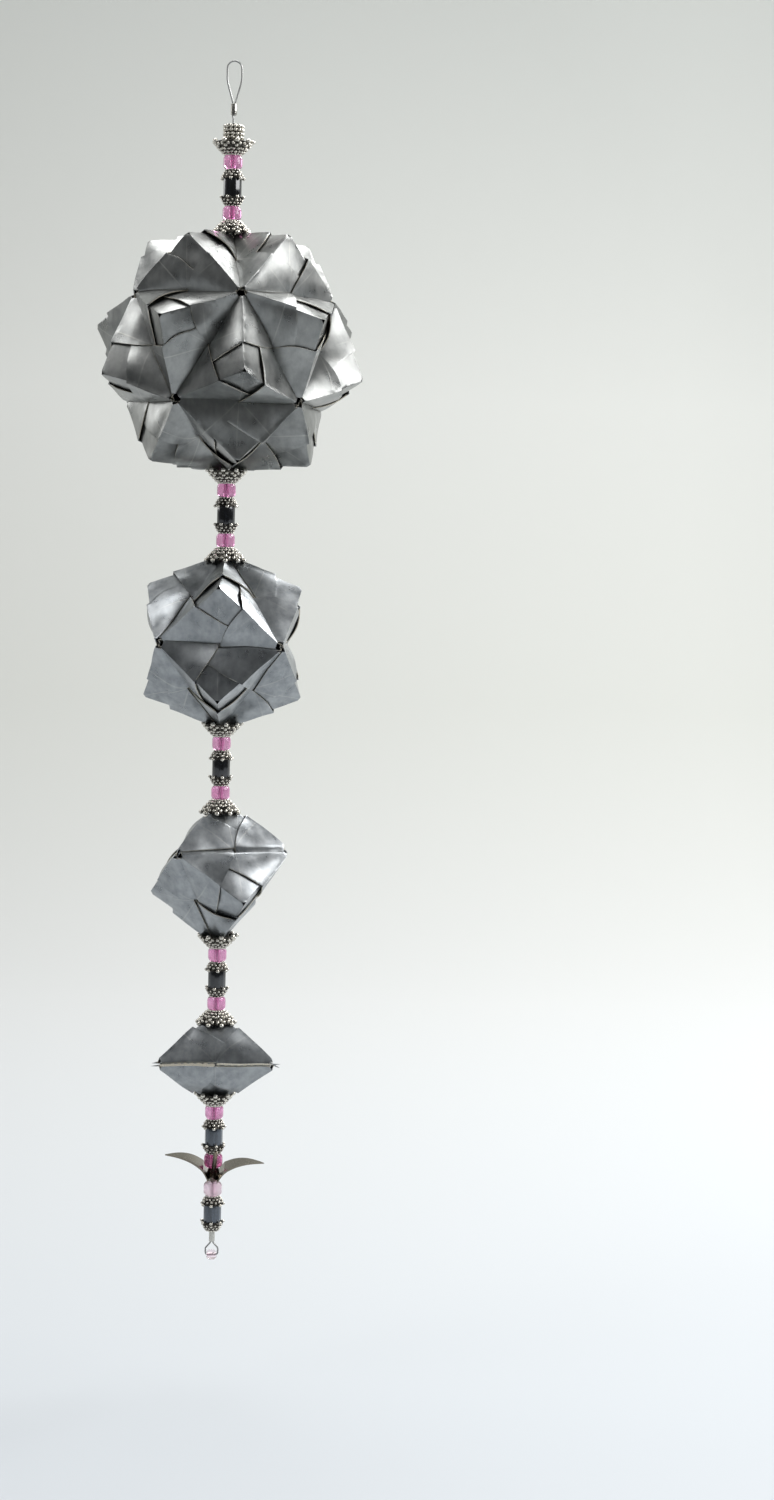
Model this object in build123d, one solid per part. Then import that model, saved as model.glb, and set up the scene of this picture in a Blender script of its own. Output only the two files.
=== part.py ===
from build123d import *
import math
import os

# Hanging ornament: four modular folded-paper balls threaded on one beading wire, with beads,
# bead caps, tube beads and a small metal crane between them. Millimetres, +Z up, with the
# origin at the top of the wire loop that it hangs by. Every folded sheet is one solid.

os.makedirs("parts", exist_ok=True)

# Folded paper
sheet_side = 50.8        # square sheet that one unit is folded from
base_thickness = 0.26    # plies that form the faces
flap_thickness = 0.16    # front flap that closes the pocket
tab_thickness = 0.20     # tab that holds the next unit
ply_gap = 0.03           # air between plies that slide past each other
edge_share = 0.36        # where a strip edge meets a ridge, as a share of the ridge
tuck_share = 0.40        # how far a tab reaches into its pocket
apex_hole = 0.75         # cut along each ridge at the tip of a pyramid
vertex_hole = 1.10       # cut along each fold where pyramids meet
mouth_run = 1.20         # length of the slope that dips into a pocket in a flat face
fold_web = 0.20          # width of the fold that joins a flap to its face
fold_inset = 0.30        # that fold's distance from the ridge
fold_stop = 2.60         # that fold's distance from the corner of the unit

# How far each ball is turned round the wire, in degrees
large_ball_spin = 6.1
small_ball_spin = -3.8
cube_spin = -37.6
jewel_spin = 0.6

# Wire and crimps
wire_diameter = 0.40
loop_width = 3.10        # between the two legs, centre to centre
loop_drop = 9.10         # top of the loop to the crimp
loop_legs = 4.40         # straight part of the legs, measured from the top
crimp_diameter = 1.30
crimp_length = 2.30
crimp_gap = 0.03         # air round each wire in a crimp
tail_length = 0.30       # wire end that shows past a crimp
free_wire = 2.00         # bare wire under the top crimp
bottom_wire = 0.30       # bare wire over the lower crimp
end_loop_width = 2.70
end_loop_drop = 3.00     # lower crimp to the level foot of its loop
end_loop_corner = 0.50   # radius of the two lower corners of that loop
crimp_bend = 0.50        # radius of the bends beside a crimp
wire_sides = 6           # flats round the wire
wire_step = 24.0         # degrees, turn at each joint of a bend

# Beads
bead_sides = 10          # flats round a bead
bead_bore = 1.00
bore_sides = 6
bead_gap = 0.02          # air between threaded pieces
pink_diameter = 4.00
pink_length = 3.20
pink_face = 2.40         # flat end of a seed bead
bead_shoulder = 0.75     # where a seed bead's side bends, as a share of the way from its face to its side
bead_shoulder_depth = 0.20  # and as a share of its length
tube_diameter = 3.90
tube_length = 4.55
tube_bevel = 0.25
rondelle_count = 3
rondelle_diameter = 4.60
rondelle_length = 1.60
rondelle_waist = 0.35    # depth of the groove between its two rims
end_bead_diameter = 2.60
end_bead_length = 2.20
end_bead_face = 1.40
end_bead_bore = 0.80

# Bead caps
cap_diameter = 8.80
cap_height = 2.60
cap_crown = 2.60         # diameter of the flat crown
cap_belly = 6.60         # diameter at the belly of the dome
cap_belly_depth = 1.10
cap_petals = 9
cap_dent = 0.30          # how far the rim draws in between two petals
small_cap_diameter = 5.20
small_cap_height = 1.80
small_cap_crown = 3.00
small_cap_petals = 7
small_cap_dent = 0.20
cap_wall = 0.33          # metal at the crown
cap_lip = 0.18           # metal at the rim, between two petals
seat_air = 0.05          # air between a ball and its cap

# Crane charm
crane_height = 2.90      # body, along the wire
crane_width = 3.00
crane_length = 6.40
crane_seat = 2.20        # flat on which the beads above and below rest
crane_span = 21.60
crane_chord = 7.00       # front to back at the root of a wing
crane_tip_chord = 1.40
crane_incidence = 8.0    # degrees, how far the back edge of a wing stands above its front edge
crane_root = 0.90        # wire to the root of a wing
crane_root_drop = 2.45
crane_shoulder = 4.60    # wire to the bend of a wing
crane_shoulder_rise = 1.40
crane_bow = 0.45         # how far a wing arches above the line between two bends
crane_wing_thickness = 0.50
crane_tip_thickness = 0.20
crane_tip_rise = 1.90
crane_keel = 1.60        # widest place of the body, below its crown
crane_spike_root = 1.80  # wire to the foot of the tail or the neck
crane_spike_reach = 4.40  # wire to the tip of the tail or the neck
crane_spike_rise = 4.70
crane_spike_width = 1.30
crane_spike_depth = 1.60
crane_spike_tip = 0.55   # tip of a spike, as a share of its foot
crane_head = 1.20        # reach of the beak past the neck
crane_head_drop = 0.90
crane_tilt = 4.5         # degrees, how it leans on the wire

# Worked out from the sizes above
leg = sheet_side / (2 * math.sqrt(2))
edge = sheet_side / 2
tuck_low = ply_gap
tuck_high = tuck_low + tab_thickness
flap_low = tuck_high + ply_gap
flap_high = flap_low + flap_thickness
tab_low = flap_high + ply_gap
tab_high = tab_low + tab_thickness
up = Vector(0, 0, 1)


# Flat pieces with slanted edges

def crossing(first, second):
    """Point where two flat lines cross, each one given as a point and a direction."""
    gap = second[0] - first[0]
    turn = first[1].X * second[1].Y - first[1].Y * second[1].X
    reach = (gap.X * second[1].Y - gap.Y * second[1].X) / turn
    return first[0] + first[1] * reach


def outline(corners, edges, height):
    """Corners at one height, with each edge moved out by its shift and by its lean times the height."""
    lines = []
    for number, (shift, lean) in enumerate(edges):
        start = Vector(*corners[number])
        end = Vector(*corners[(number + 1) % len(corners)])
        along = (end - start).normalized()
        outward = Vector(along.Y, -along.X)
        lines.append((start + outward * (shift + lean * height), along))
    return [crossing(lines[number - 1], lines[number]) for number in range(len(lines))]


def polygon(points):
    """Flat face through a ring of points."""
    return Face(Wire.make_polygon(points, close=True))


def block(lower, upper):
    """Closed solid between two rings with the same number of points."""
    faces = [polygon(lower[::-1]), polygon(upper)]
    for number in range(len(lower)):
        after = (number + 1) % len(lower)
        faces.append(polygon([lower[number], lower[after], upper[after], upper[number]]))
    return Solid(Shell(faces))


def ring(plane, corners, edges, height):
    """Outline at one height over a face, in the space of the unit."""
    return [plane.from_local_coords(Vector(point.X, point.Y, height))
            for point in outline(corners, edges, height)]


def plate(plane, corners, edges, low, high):
    """Ply of paper over a face, from one height to another."""
    return block(ring(plane, corners, edges, low), ring(plane, corners, edges, high))


def face_plane(corner, toward_x, toward_y):
    """Plane of a face, with its origin at a corner and its normal pointing out of the ball."""
    x_direction = (toward_x - corner).normalized()
    y_direction = (toward_y - corner).normalized()
    return Plane(origin=corner, x_dir=x_direction, z_dir=x_direction.cross(y_direction))


def slanted(low, shift_low, high, shift_high):
    """Shift and lean of an edge that passes two given places."""
    lean = (shift_high - shift_low) / (high - low)
    return (shift_low - lean * low, lean)


# One folded unit

class Valley:
    """Shapes of the plies where they cross the middle fold of a unit."""

    def __init__(self, angle):
        self.cosine = math.cos(angle)
        self.sine = math.sin(angle)
        self.half_slope = math.cos(angle / 2) / math.sin(angle / 2)
        self.flat = abs(self.sine) < 0.05

    def meeting(self, over, under):
        """Where a tab at one height meets its tuck at another: distance on each side of the fold."""
        near = (under + over * self.cosine) / self.sine
        return near, near * self.cosine + over * self.sine

    def flap_setback(self):
        """Distance from the fold at which a flap ends, to let a tab pass beneath it."""
        if self.flat:
            return mouth_run / 2
        if self.sine > 0:
            return (tab_high + ply_gap + flap_low * self.cosine) / self.sine
        return flap_high * self.cosine / self.sine + ply_gap

    def tab_edge(self):
        """Edge of a tab at the fold."""
        if self.flat:
            return (-mouth_run / 2, 0)
        low = self.meeting(tab_low, tuck_low)[0]
        high = self.meeting(tab_high, tuck_high)[0]
        return slanted(tab_low, -low, tab_high, -high)

    def tuck_edge(self):
        """Edge of a tucked tab end at the fold."""
        if self.flat:
            return (-mouth_run / 2, 0)
        low = self.meeting(tab_low, tuck_low)[1]
        high = self.meeting(tab_high, tuck_high)[1]
        return slanted(tuck_low, -low, tuck_high, -high)


def half_unit(angle):
    """Half of a folded unit: one face, its flap, and the tab that holds the next unit."""
    valley = Valley(angle)
    slope = 1 - 2 * edge_share
    foot = Vector(edge / 2, 0, 0)
    other_foot = Vector(-edge / 2, 0, 0)
    apex = Vector(0, -math.sin(angle / 2), math.cos(angle / 2)) * (edge / 2)
    own = face_plane(apex, foot, other_foot)
    third = apex - own.z_dir * leg
    beyond = face_plane(apex, third, foot)
    middle = (third + foot) * 0.5
    inward = (apex - middle).normalized()
    far_apex = middle + (inward * valley.cosine + beyond.z_dir * valley.sine) * (edge / 2)
    far = face_plane(far_apex, foot, third)

    cut = vertex_hole / math.sqrt(2)
    ridge_start = edge_share * leg
    x_end = (leg - vertex_hole, 0)
    x_valley = (leg - cut, cut)
    y_valley = (cut, leg - cut)
    y_end = (0, leg - vertex_hole)

    # Face of the unit, mitred to its neighbours, with its tip cut parallel to the axis of the pyramid
    ridge_edge = (-ply_gap / 2, 1)
    base = plate(
        own,
        [(apex_hole, 0), x_end, x_valley, y_valley, y_end, (0, apex_hole)],
        [ridge_edge, (0, 0), (0, -valley.half_slope), (0, 0), ridge_edge, (0, math.sqrt(2))],
        -base_thickness, 0)

    # Flap over the pocket, which turns over the ridge and becomes the tab
    turn_out = (tab_low + tab_high) / 2
    turn_in = (flap_low + flap_high) / 2
    strip_x = ridge_start - slope * turn_out
    strip_rise = (leg - strip_x) / (1 - slope)
    flap = plate(
        own,
        [(strip_x, 0), x_end, x_valley, (strip_x - slope * strip_rise, strip_rise)],
        [slanted(flap_low, tab_low, flap_high, tab_high), (0, 0), (-valley.flap_setback(), 0), (0, 0)],
        flap_low, flap_high)
    web = plate(
        own,
        [(ridge_start + fold_inset, fold_inset), (leg - fold_stop, fold_inset),
         (leg - fold_stop, fold_inset + fold_web), (ridge_start + fold_inset, fold_inset + fold_web)],
        [(0, 0)] * 4,
        0, flap_low)

    # Tab over the next face, down to its middle fold
    strip_y = ridge_start + slope * turn_in
    tab_corners = [(0, strip_y), (leg / 2 - ply_gap, leg / 2 + ply_gap), y_valley, y_end]
    tab_edges = [(0, 0), valley.tab_edge(), (0, 0), slanted(tab_low, flap_low, tab_high, flap_high)]
    tab = plate(beyond, tab_corners, tab_edges, tab_low, tab_high)

    # End of the tab, tucked into the pocket of the far face
    tip = (leg * (0.5 - 0.5 * tuck_share), leg * (0.5 - (0.5 - edge_share) * tuck_share))
    tuck_corners = [x_valley, (leg / 2 + ply_gap, leg / 2 - ply_gap), tip]
    tuck_edges = [valley.tuck_edge(), (0, 0), (0, 0)]
    tuck = plate(far, tuck_corners, tuck_edges, tuck_low, tuck_high)
    plies = [base, flap, web, tab, tuck]

    if valley.flat:
        tab_low_ring = ring(beyond, tab_corners, tab_edges, tab_low)
        tab_high_ring = ring(beyond, tab_corners, tab_edges, tab_high)
        across = (far_apex - apex).normalized() * mouth_run
        drop = beyond.z_dir * (tuck_low - tab_low)
        start = [tab_low_ring[1], tab_low_ring[2], tab_high_ring[2], tab_high_ring[1]]
        end = [point + across + drop for point in start]
        plies.append(block(start, end))
    return plies


def folded_unit(angle):
    """Whole folded unit about the middle of its valley fold: two equal halves."""
    plies = []
    for half in (0, 180):
        plies += [ply.rotate(Axis.Z, half) for ply in half_unit(angle)]
    unit = plies[0].fuse(*plies[1:])
    return unit


# Balls

def ring_of(count, radius, height, first=0.0):
    """Points evenly spaced round the wire, the first one toward the front."""
    turns = [math.radians(first + 360 * number / count) for number in range(count)]
    return [Vector(radius * math.sin(turn), -radius * math.cos(turn), height) for turn in turns]


def icosahedron():
    """Corners of an icosahedron that stands on a corner."""
    radius = edge * math.sqrt(10 + 2 * math.sqrt(5)) / 4
    height = radius / math.sqrt(5)
    upper = ring_of(5, 2 * height, height)
    lower = ring_of(5, 2 * height, -height, 36)
    return [up * radius] + upper + lower + [up * -radius]


def octahedron():
    """Corners of an octahedron that stands on a corner, with a level edge at the front."""
    radius = edge / math.sqrt(2)
    return [up * radius] + ring_of(4, radius, 0, 45) + [up * -radius]


def tetrahedron():
    """Corners of a tetrahedron with one corner at the foot and a level face on top."""
    radius = edge * math.sqrt(6) / 4
    return ring_of(3, edge / math.sqrt(3), radius / 3) + [up * -radius]


def nearby(first, second):
    """True for two corners that are joined by an edge."""
    return abs((first - second).length - edge) < edge / 1000


def triangles(corners):
    """Every face of a solid whose faces are all triangles."""
    count = len(corners)
    return [(corners[a], corners[b], corners[c])
            for a in range(count) for b in range(a + 1, count) for c in range(b + 1, count)
            if nearby(corners[a], corners[b]) and nearby(corners[b], corners[c])
            and nearby(corners[a], corners[c])]


def ball_edges(corners):
    """Edges of a solid, each with the angle between the two pyramid faces that meet there."""
    rise = edge / math.sqrt(6)
    found = []
    for number, first in enumerate(corners):
        for second in corners[number + 1:]:
            if not nearby(first, second):
                continue
            middle = (first + second) * 0.5
            face = next(face for face in triangles(corners) if first in face and second in face)
            centre = (face[0] + face[1] + face[2]) * (1 / 3)
            apex = centre + centre.normalized() * rise
            lean = (apex - middle).normalized().dot(middle.normalized())
            found.append((first, second, 2 * math.acos(lean)))
    return found


def jewel_edges():
    """Edges of the flat triangle whose two sides carry a pyramid each."""
    corners = ring_of(3, edge / math.sqrt(3), 0, 60)
    angle = 2 * math.acos(-math.sqrt(1 / 3))
    return [(corners[number], corners[(number + 1) % 3], angle) for number in range(3)]


def ball_units(edges, spin, height):
    """Every folded unit of a ball, in place on the wire."""
    unit = folded_unit(edges[0][2])
    place = Pos(0, 0, height) * Rot(0, 0, spin)
    units = []
    for first, second, _ in edges:
        middle = (first + second) * 0.5
        seat = Plane(origin=middle, x_dir=second - first, z_dir=middle)
        units.append(place * seat.location * unit)
    return units


# Threaded pieces, each with its top at height 0

def rim_ring(points, radius, height, dent=0.0):
    """Ring with an even number of points, every second one drawn in by the dent."""
    tips = ring_of(points // 2, radius, height)
    gaps = ring_of(points // 2, radius - dent, height, 360 / points)
    return [point for pair in zip(tips, gaps) for point in pair]


def stacked(rings):
    """Closed solid through level rings with the same number of points, the top ring first."""
    faces = [polygon(rings[0]), polygon(rings[-1][::-1])]
    for upper, lower in zip(rings, rings[1:]):
        for number in range(len(upper)):
            after = (number + 1) % len(upper)
            faces.append(polygon([upper[number], lower[number], lower[after]]))
            faces.append(polygon([upper[number], lower[after], upper[after]]))
    return Solid(Shell(faces))


def bored(body, length, bore=bead_bore):
    """A threaded piece with its bore, which runs past both ends."""
    return body - extrude(RegularPolygon(bore / 2, bore_sides), length + 1, both=True)


def turned(profile, length, bore=bead_bore):
    """Many-sided bead from pairs of radius and depth, with its top at height 0."""
    return bored(stacked([rim_ring(bead_sides, radius, -depth) for radius, depth in profile]), length, bore)


def seed_bead(diameter, length, face, bore):
    """Rounded bead with flat ends."""
    end = face / 2
    side = diameter / 2
    shoulder = end + (side - end) * bead_shoulder
    bend = length * bead_shoulder_depth
    profile = [(end, 0), (shoulder, bend), (side, length / 2), (shoulder, length - bend), (end, length)]
    return turned(profile, length, bore)


def pink_bead():
    """Pink seed bead."""
    return seed_bead(pink_diameter, pink_length, pink_face, bead_bore)


def tube_bead():
    """Straight tube bead with bevelled ends."""
    side = tube_diameter / 2
    profile = [(side - tube_bevel, 0), (side, tube_bevel), (side, tube_length - tube_bevel),
               (side - tube_bevel, tube_length)]
    return turned(profile, tube_length)


def rondelle():
    """Spacer bead with two rims and a groove between them."""
    side = rondelle_diameter / 2
    waist = side - rondelle_waist
    quarter = rondelle_length / 4
    profile = [(waist, 0), (side, quarter), (waist, 2 * quarter), (side, 3 * quarter), (waist, 4 * quarter)]
    return turned(profile, rondelle_length)


class BeadCap:
    """Cup of pressed petals, open side down and its crown at height 0."""

    def __init__(self, diameter, height, crown, petals, dent, belly):
        self.rim = diameter / 2
        self.height = height
        self.points = 2 * petals
        self.dent = dent
        self.outer = [(crown / 2, 0), *belly, (self.rim, height)]
        self.inner_crown = (crown - cap_wall) / 2
        self.inner_rim = self.rim - dent - cap_lip
        self.flare = (self.inner_rim - self.inner_crown) / (height - cap_wall)

    def seat_depth(self, radius):
        """Depth below the crown at which a round piece of this radius meets the inside."""
        corner = radius / math.cos(math.pi / self.points)
        return cap_wall + (corner - self.inner_crown) / self.flare

    def solid(self):
        """The cap itself: fluted outside, a plain cone inside."""
        outer = [rim_ring(self.points, radius, -depth, self.dent if depth else 0) for radius, depth in self.outer]
        below = self.inner_rim + self.flare
        inner = [rim_ring(self.points, self.inner_crown, -cap_wall), rim_ring(self.points, below, -self.height - 1)]
        return bored(stacked(outer) - stacked(inner), self.height)


large_cap = BeadCap(cap_diameter, cap_height, cap_crown, cap_petals, cap_dent, [(cap_belly / 2, cap_belly_depth)])
small_cap = BeadCap(small_cap_diameter, small_cap_height, small_cap_crown, small_cap_petals, small_cap_dent, [])


# Crane charm

def diamond(length, width, height=0.0):
    """Ring of a four-sided section, longer along one way than the other."""
    return [Vector(width / 2, 0, height), Vector(0, length / 2, height), Vector(-width / 2, 0, height),
            Vector(0, -length / 2, height)]


def crane_wing():
    """One wing: a bent sheet, steep at its root and level outside, cut to its outline from above."""
    tip = crane_span / 2
    root = Vector(crane_root, -crane_root_drop)
    bend = Vector(crane_shoulder, crane_shoulder_rise)
    end = Vector(tip, crane_tip_rise)
    knee = (root + bend) * 0.5 + Vector(-crane_bow, crane_bow)
    crown = (bend + end) * 0.5 + Vector(0, crane_bow)
    under = [root, knee, bend, crown, end]
    middle_thickness = (crane_wing_thickness + crane_tip_thickness) / 2
    thicknesses = [crane_wing_thickness] * 3 + [middle_thickness, crane_tip_thickness]
    over = [point + Vector(0, thickness) for point, thickness in zip(under, thicknesses)]
    sheet = extrude(Plane.XZ * Polygon(*under, *over[::-1], align=None), crane_chord, both=True)
    plan = Polygon((0, -crane_chord / 2), (tip, -crane_tip_chord / 2), (tip, crane_tip_chord / 2),
                   (0, crane_chord / 2), align=None)
    return Rot(crane_incidence, 0, 0) * (sheet & extrude(plan, crane_span, both=True))


def spike(start, end, width, depth):
    """Tapered four-sided bar for the tail, the neck and the head."""
    along = Vector(*end) - Vector(*start)
    foot = Plane(origin=start, x_dir=(1, 0, 0), z_dir=along)
    tip = Plane(origin=end, x_dir=(1, 0, 0), z_dir=along)
    section = diamond(depth, width)
    return block([foot.from_local_coords(point) for point in section],
                 [tip.from_local_coords(point * crane_spike_tip) for point in section])


def crane():
    """Folded-crane charm, threaded through its body, with its crown at height 0."""
    seat = crane_seat
    body = stacked([diamond(seat, seat), diamond(crane_length, crane_width, -crane_keel),
                    diamond(seat, seat, -crane_height)])
    parts = [crane_wing(), crane_wing().mirror(Plane.YZ)]
    for side in (-1, 1):
        start = (0, side * crane_spike_root, -crane_keel)
        end = (0, side * crane_spike_reach, crane_spike_rise)
        parts.append(spike(start, end, crane_spike_width, crane_spike_depth))
    tip_depth = crane_spike_depth * crane_spike_tip
    crest = (0, crane_spike_reach, crane_spike_rise - tip_depth / 4)
    beak = (0, crane_spike_reach + crane_head, crane_spike_rise - crane_head_drop)
    parts.append(spike(crest, beak, crane_spike_width / 2, tip_depth))
    charm = bored(body.fuse(*parts), crane_height + 2 * crane_spike_rise)
    pivot = Pos(0, 0, -crane_height / 2)
    return pivot * Rot(0, crane_tilt, 0) * pivot.inverse() * charm


# Wire, crimps and the bead in the lower loop

def rounded_path(points, largest):
    """Straight runs between points, joined by bends no larger than the radius given for each corner."""
    reached = [points[0]]
    for before, corner, after, limit in zip(points, points[1:], points[2:], largest):
        into = (corner - before).normalized()
        out = (after - corner).normalized()
        half_turn = math.acos(max(-1, min(1, into.dot(out)))) / 2
        shorter = min((corner - before).length, (after - corner).length)
        radius = min(limit, 0.48 * shorter / math.tan(half_turn))
        reach = radius * math.tan(half_turn)
        start = corner - into * reach
        end = corner + out * reach
        centre = corner + (out - into).normalized() * (radius / math.cos(half_turn))
        middle = centre + (corner - centre).normalized() * radius
        bend = Edge.make_three_point_arc(start, middle, end)
        steps = math.ceil(math.degrees(2 * half_turn) / wire_step)
        reached += [bend @ (step / steps) for step in range(steps + 1)]
    return Wire.make_polygon([*reached, points[-1]], close=False)


def beading_wire(lower_crimp):
    """The whole wire: top loop, straight run through every piece, lower loop."""
    aside = (wire_diameter + crimp_gap) / 2
    top_crimp_end = -loop_drop - crimp_length
    lower_crimp_end = lower_crimp - crimp_length
    lead = wire_diameter / 2
    half = loop_width / 2
    end_half = end_loop_width / 2
    end_height = lower_crimp - crimp_length - end_loop_drop
    shoulder = (lower_crimp_end + end_height) / 2
    route = [
        (aside, top_crimp_end - tail_length), (aside, -loop_drop + lead), (half, -loop_legs), (half, -lead),
        (-half, -lead), (-half, -loop_legs), (-aside, -loop_drop + lead), (-aside, top_crimp_end - lead),
        (0, top_crimp_end - free_wire / 2), (0, lower_crimp + free_wire / 2),
        (-aside, lower_crimp + lead), (-aside, lower_crimp_end - lead), (-end_half, shoulder),
        (-end_half, end_height), (end_half, end_height), (end_half, shoulder),
        (aside, lower_crimp_end - lead), (aside, lower_crimp + tail_length)]
    tight = {aside: crimp_bend, end_half: end_loop_corner}
    radii = [tight.get(abs(x), loop_width) for x, _ in route[1:-1]]
    path = rounded_path([Vector(x, 0, z) for x, z in route], radii)
    section = Plane(origin=path @ 0, z_dir=path % 0) * RegularPolygon(wire_diameter / 2, wire_sides)
    tube = sweep(section, path=path, transition=Transition.RIGHT)
    print("beading wire", round(path.length, 2), "mm long, volume over section times length",
          round(tube.volume / (section.area * path.length), 4))
    return tube, end_height


def crimp():
    """Crimp tube that holds two runs of wire side by side."""
    slot_width = 2 * wire_diameter + 3 * crimp_gap
    slot_height = wire_diameter + 2 * crimp_gap
    face = RegularPolygon(crimp_diameter / 2, bead_sides) - Rectangle(slot_width, slot_height)
    return extrude(face, -crimp_length)


def end_bead():
    """Small seed bead that lies across the lower loop."""
    lying = Rot(0, 90, 0) * Pos(0, 0, end_bead_length / 2)
    return lying * seed_bead(end_bead_diameter, end_bead_length, end_bead_face, end_bead_bore)


# The strand, from the top down

def cap_reach(tip, slope, at_apex):
    """Distance from the middle of a ball to the rim of the cap that sits on its corner."""
    lift = 0 if at_apex else (tab_high + flap_high) / math.sqrt(2)
    hole = apex_hole if at_apex else vertex_hole
    rim = large_cap.inner_rim * math.cos(math.pi / large_cap.points)
    on_ridges = tip - rim * math.tan(slope) + lift / math.cos(slope)
    in_crown = tip - hole * math.sin(slope) + lift * math.cos(slope) - cap_height + cap_wall
    return max(on_ridges, in_crown) + seat_air


class Strand:
    """Threads pieces one under another and keeps like pieces together."""

    def __init__(self, height):
        self.height = height
        self.nodes = {}

    def keep(self, name, piece):
        """Adds a piece, in place, to its node."""
        self.nodes.setdefault(name, []).append(piece)

    def thread(self, name, piece, length):
        """Hangs the next piece and moves down by its length."""
        self.keep(name, Pos(0, 0, self.height) * piece)
        self.height -= length + bead_gap

    def open_down(self, name, cap):
        """Cap with its open side down, at this height."""
        self.keep(name, Pos(0, 0, self.height) * cap.solid())

    def open_up(self, name, cap, crown):
        """Cap with its open side up and its crown at the given height."""
        self.keep(name, Pos(0, 0, crown) * Rot(180, 0, 0) * cap.solid())
        self.height = crown - bead_gap

    def pink(self):
        """One pink seed bead."""
        self.thread("pink_beads", pink_bead(), pink_length)

    def tube_group(self):
        """Tube bead with a small cap over each end."""
        seat = small_cap.seat_depth(tube_diameter / 2) + bead_gap
        self.open_down("small_bead_caps", small_cap)
        self.height -= seat
        self.keep("hematite_tubes", Pos(0, 0, self.height) * tube_bead())
        self.open_up("small_bead_caps", small_cap, self.height - tube_length - seat)

    def ball(self, name, edges, spin, top, bottom):
        """Paper ball between two large caps."""
        self.open_down("large_bead_caps", large_cap)
        centre = self.height - cap_height - cap_reach(*top)
        for number, unit in enumerate(ball_units(edges, spin, centre), 1):
            self.keep(name.format(number), unit)
        print("ball of", len(edges), "units: middle at", round(centre, 2))
        self.open_up("large_bead_caps", large_cap, centre - cap_reach(*bottom) - cap_height)


def ridge_slope(corner, apex):
    """Angle at which the ridges fall away from a corner on the wire."""
    fall = corner - apex
    return math.atan2(fall.Z, math.hypot(fall.X, fall.Y))


def ball_end(corners):
    """Corner of a ball on the wire: its height and how steeply the ridges leave it."""
    face = next(face for face in triangles(corners) if corners[0] in face)
    centre = (face[0] + face[1] + face[2]) * (1 / 3)
    apex = centre + centre.normalized() * (edge / math.sqrt(6))
    return (corners[0].Z, ridge_slope(corners[0], apex), False)


cube_slope = math.atan(math.sqrt(1 / 2))
cube_tip = leg * math.sqrt(3) / 2
jewel_tip = leg / math.sqrt(3)

strand = Strand(-loop_drop)
strand.thread("crimp_tubes", crimp(), crimp_length + free_wire - bead_gap)
for _ in range(rondelle_count):
    strand.thread("top_rondelles", rondelle(), rondelle_length)
rondelle_seat = large_cap.seat_depth(rondelle_diameter / 2) + bead_gap
strand.open_up("large_bead_caps", large_cap, strand.height - rondelle_seat)
strand.pink()
strand.tube_group()
strand.pink()
strand.ball("large_ball_unit_{:02d}", ball_edges(icosahedron()), large_ball_spin,
            ball_end(icosahedron()), ball_end(icosahedron()))
strand.pink()
strand.tube_group()
strand.pink()
strand.ball("small_ball_unit_{:02d}", ball_edges(octahedron()), small_ball_spin,
            ball_end(octahedron()), ball_end(octahedron()))
strand.pink()
strand.tube_group()
strand.pink()
strand.ball("cube_unit_{}", ball_edges(tetrahedron()), cube_spin,
            (cube_tip, cube_slope, True), (cube_tip, cube_slope, False))
strand.pink()
strand.tube_group()
strand.pink()
strand.ball("jewel_unit_{}", jewel_edges(), jewel_spin,
            (jewel_tip, cube_slope, True), (jewel_tip, cube_slope, True))
strand.pink()
strand.tube_group()
strand.pink()
crane_room = crane_seat / 2 * math.sin(math.radians(abs(crane_tilt)))
strand.height -= crane_room
strand.thread("crane_charm", crane(), crane_height + crane_room)
strand.pink()
strand.tube_group()
strand.height -= bottom_wire
lower_crimp = strand.height
print("lower crimp at", round(lower_crimp, 2))
strand.thread("crimp_tubes", crimp(), crimp_length)
wire, end_height = beading_wire(lower_crimp)
strand.keep("beading_wire", wire)
bent = max(0, (end_bead_length - end_loop_width) / 2 + end_loop_corner)
inner_corner = end_loop_corner - wire_diameter / 2
bent_rise = inner_corner - math.sqrt(max(0, inner_corner ** 2 - bent ** 2))
bore_flat = end_bead_bore / 2 * math.cos(math.pi / bore_sides)
hang = bore_flat - wire_diameter / 2 - bead_gap - bent_rise
strand.keep("end_bead", Pos(0, 0, end_height - hang) * end_bead())

for name, pieces in strand.nodes.items():
    solids = [solid for piece in pieces for solid in piece.solids()]
    export_step(solids[0] if len(solids) == 1 else Compound(children=solids), f"parts/{name}.step")
print(len(strand.nodes), "nodes, foot at", round(end_height - hang - end_bead_diameter / 2, 2))
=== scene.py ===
"""Looks of a hanging strand: four folded silver-paper balls, beads, bead caps and a small crane."""

import logging
import math
import random
from contextlib import contextmanager
from dataclasses import dataclass
from enum import Enum
from typing import Any, Callable, Iterator

import bmesh
import bpy
import numpy as np
from mathutils import Matrix, Vector, noise


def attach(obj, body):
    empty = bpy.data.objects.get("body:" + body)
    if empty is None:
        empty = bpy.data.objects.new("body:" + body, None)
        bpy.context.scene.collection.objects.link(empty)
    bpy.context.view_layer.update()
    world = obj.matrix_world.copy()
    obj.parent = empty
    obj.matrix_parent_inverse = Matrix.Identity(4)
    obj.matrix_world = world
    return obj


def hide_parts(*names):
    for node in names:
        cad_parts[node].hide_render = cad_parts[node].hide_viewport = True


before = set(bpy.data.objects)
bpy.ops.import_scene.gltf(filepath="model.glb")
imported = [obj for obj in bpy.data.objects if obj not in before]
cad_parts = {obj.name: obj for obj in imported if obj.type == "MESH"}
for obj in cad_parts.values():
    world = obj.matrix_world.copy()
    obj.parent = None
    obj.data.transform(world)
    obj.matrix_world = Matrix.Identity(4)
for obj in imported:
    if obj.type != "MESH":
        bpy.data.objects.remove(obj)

Piece = bpy.types.Object
Material = bpy.types.Material
Socket = bpy.types.NodeSocket
Range = tuple[float, float]
Triple = tuple[float, float, float]

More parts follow.
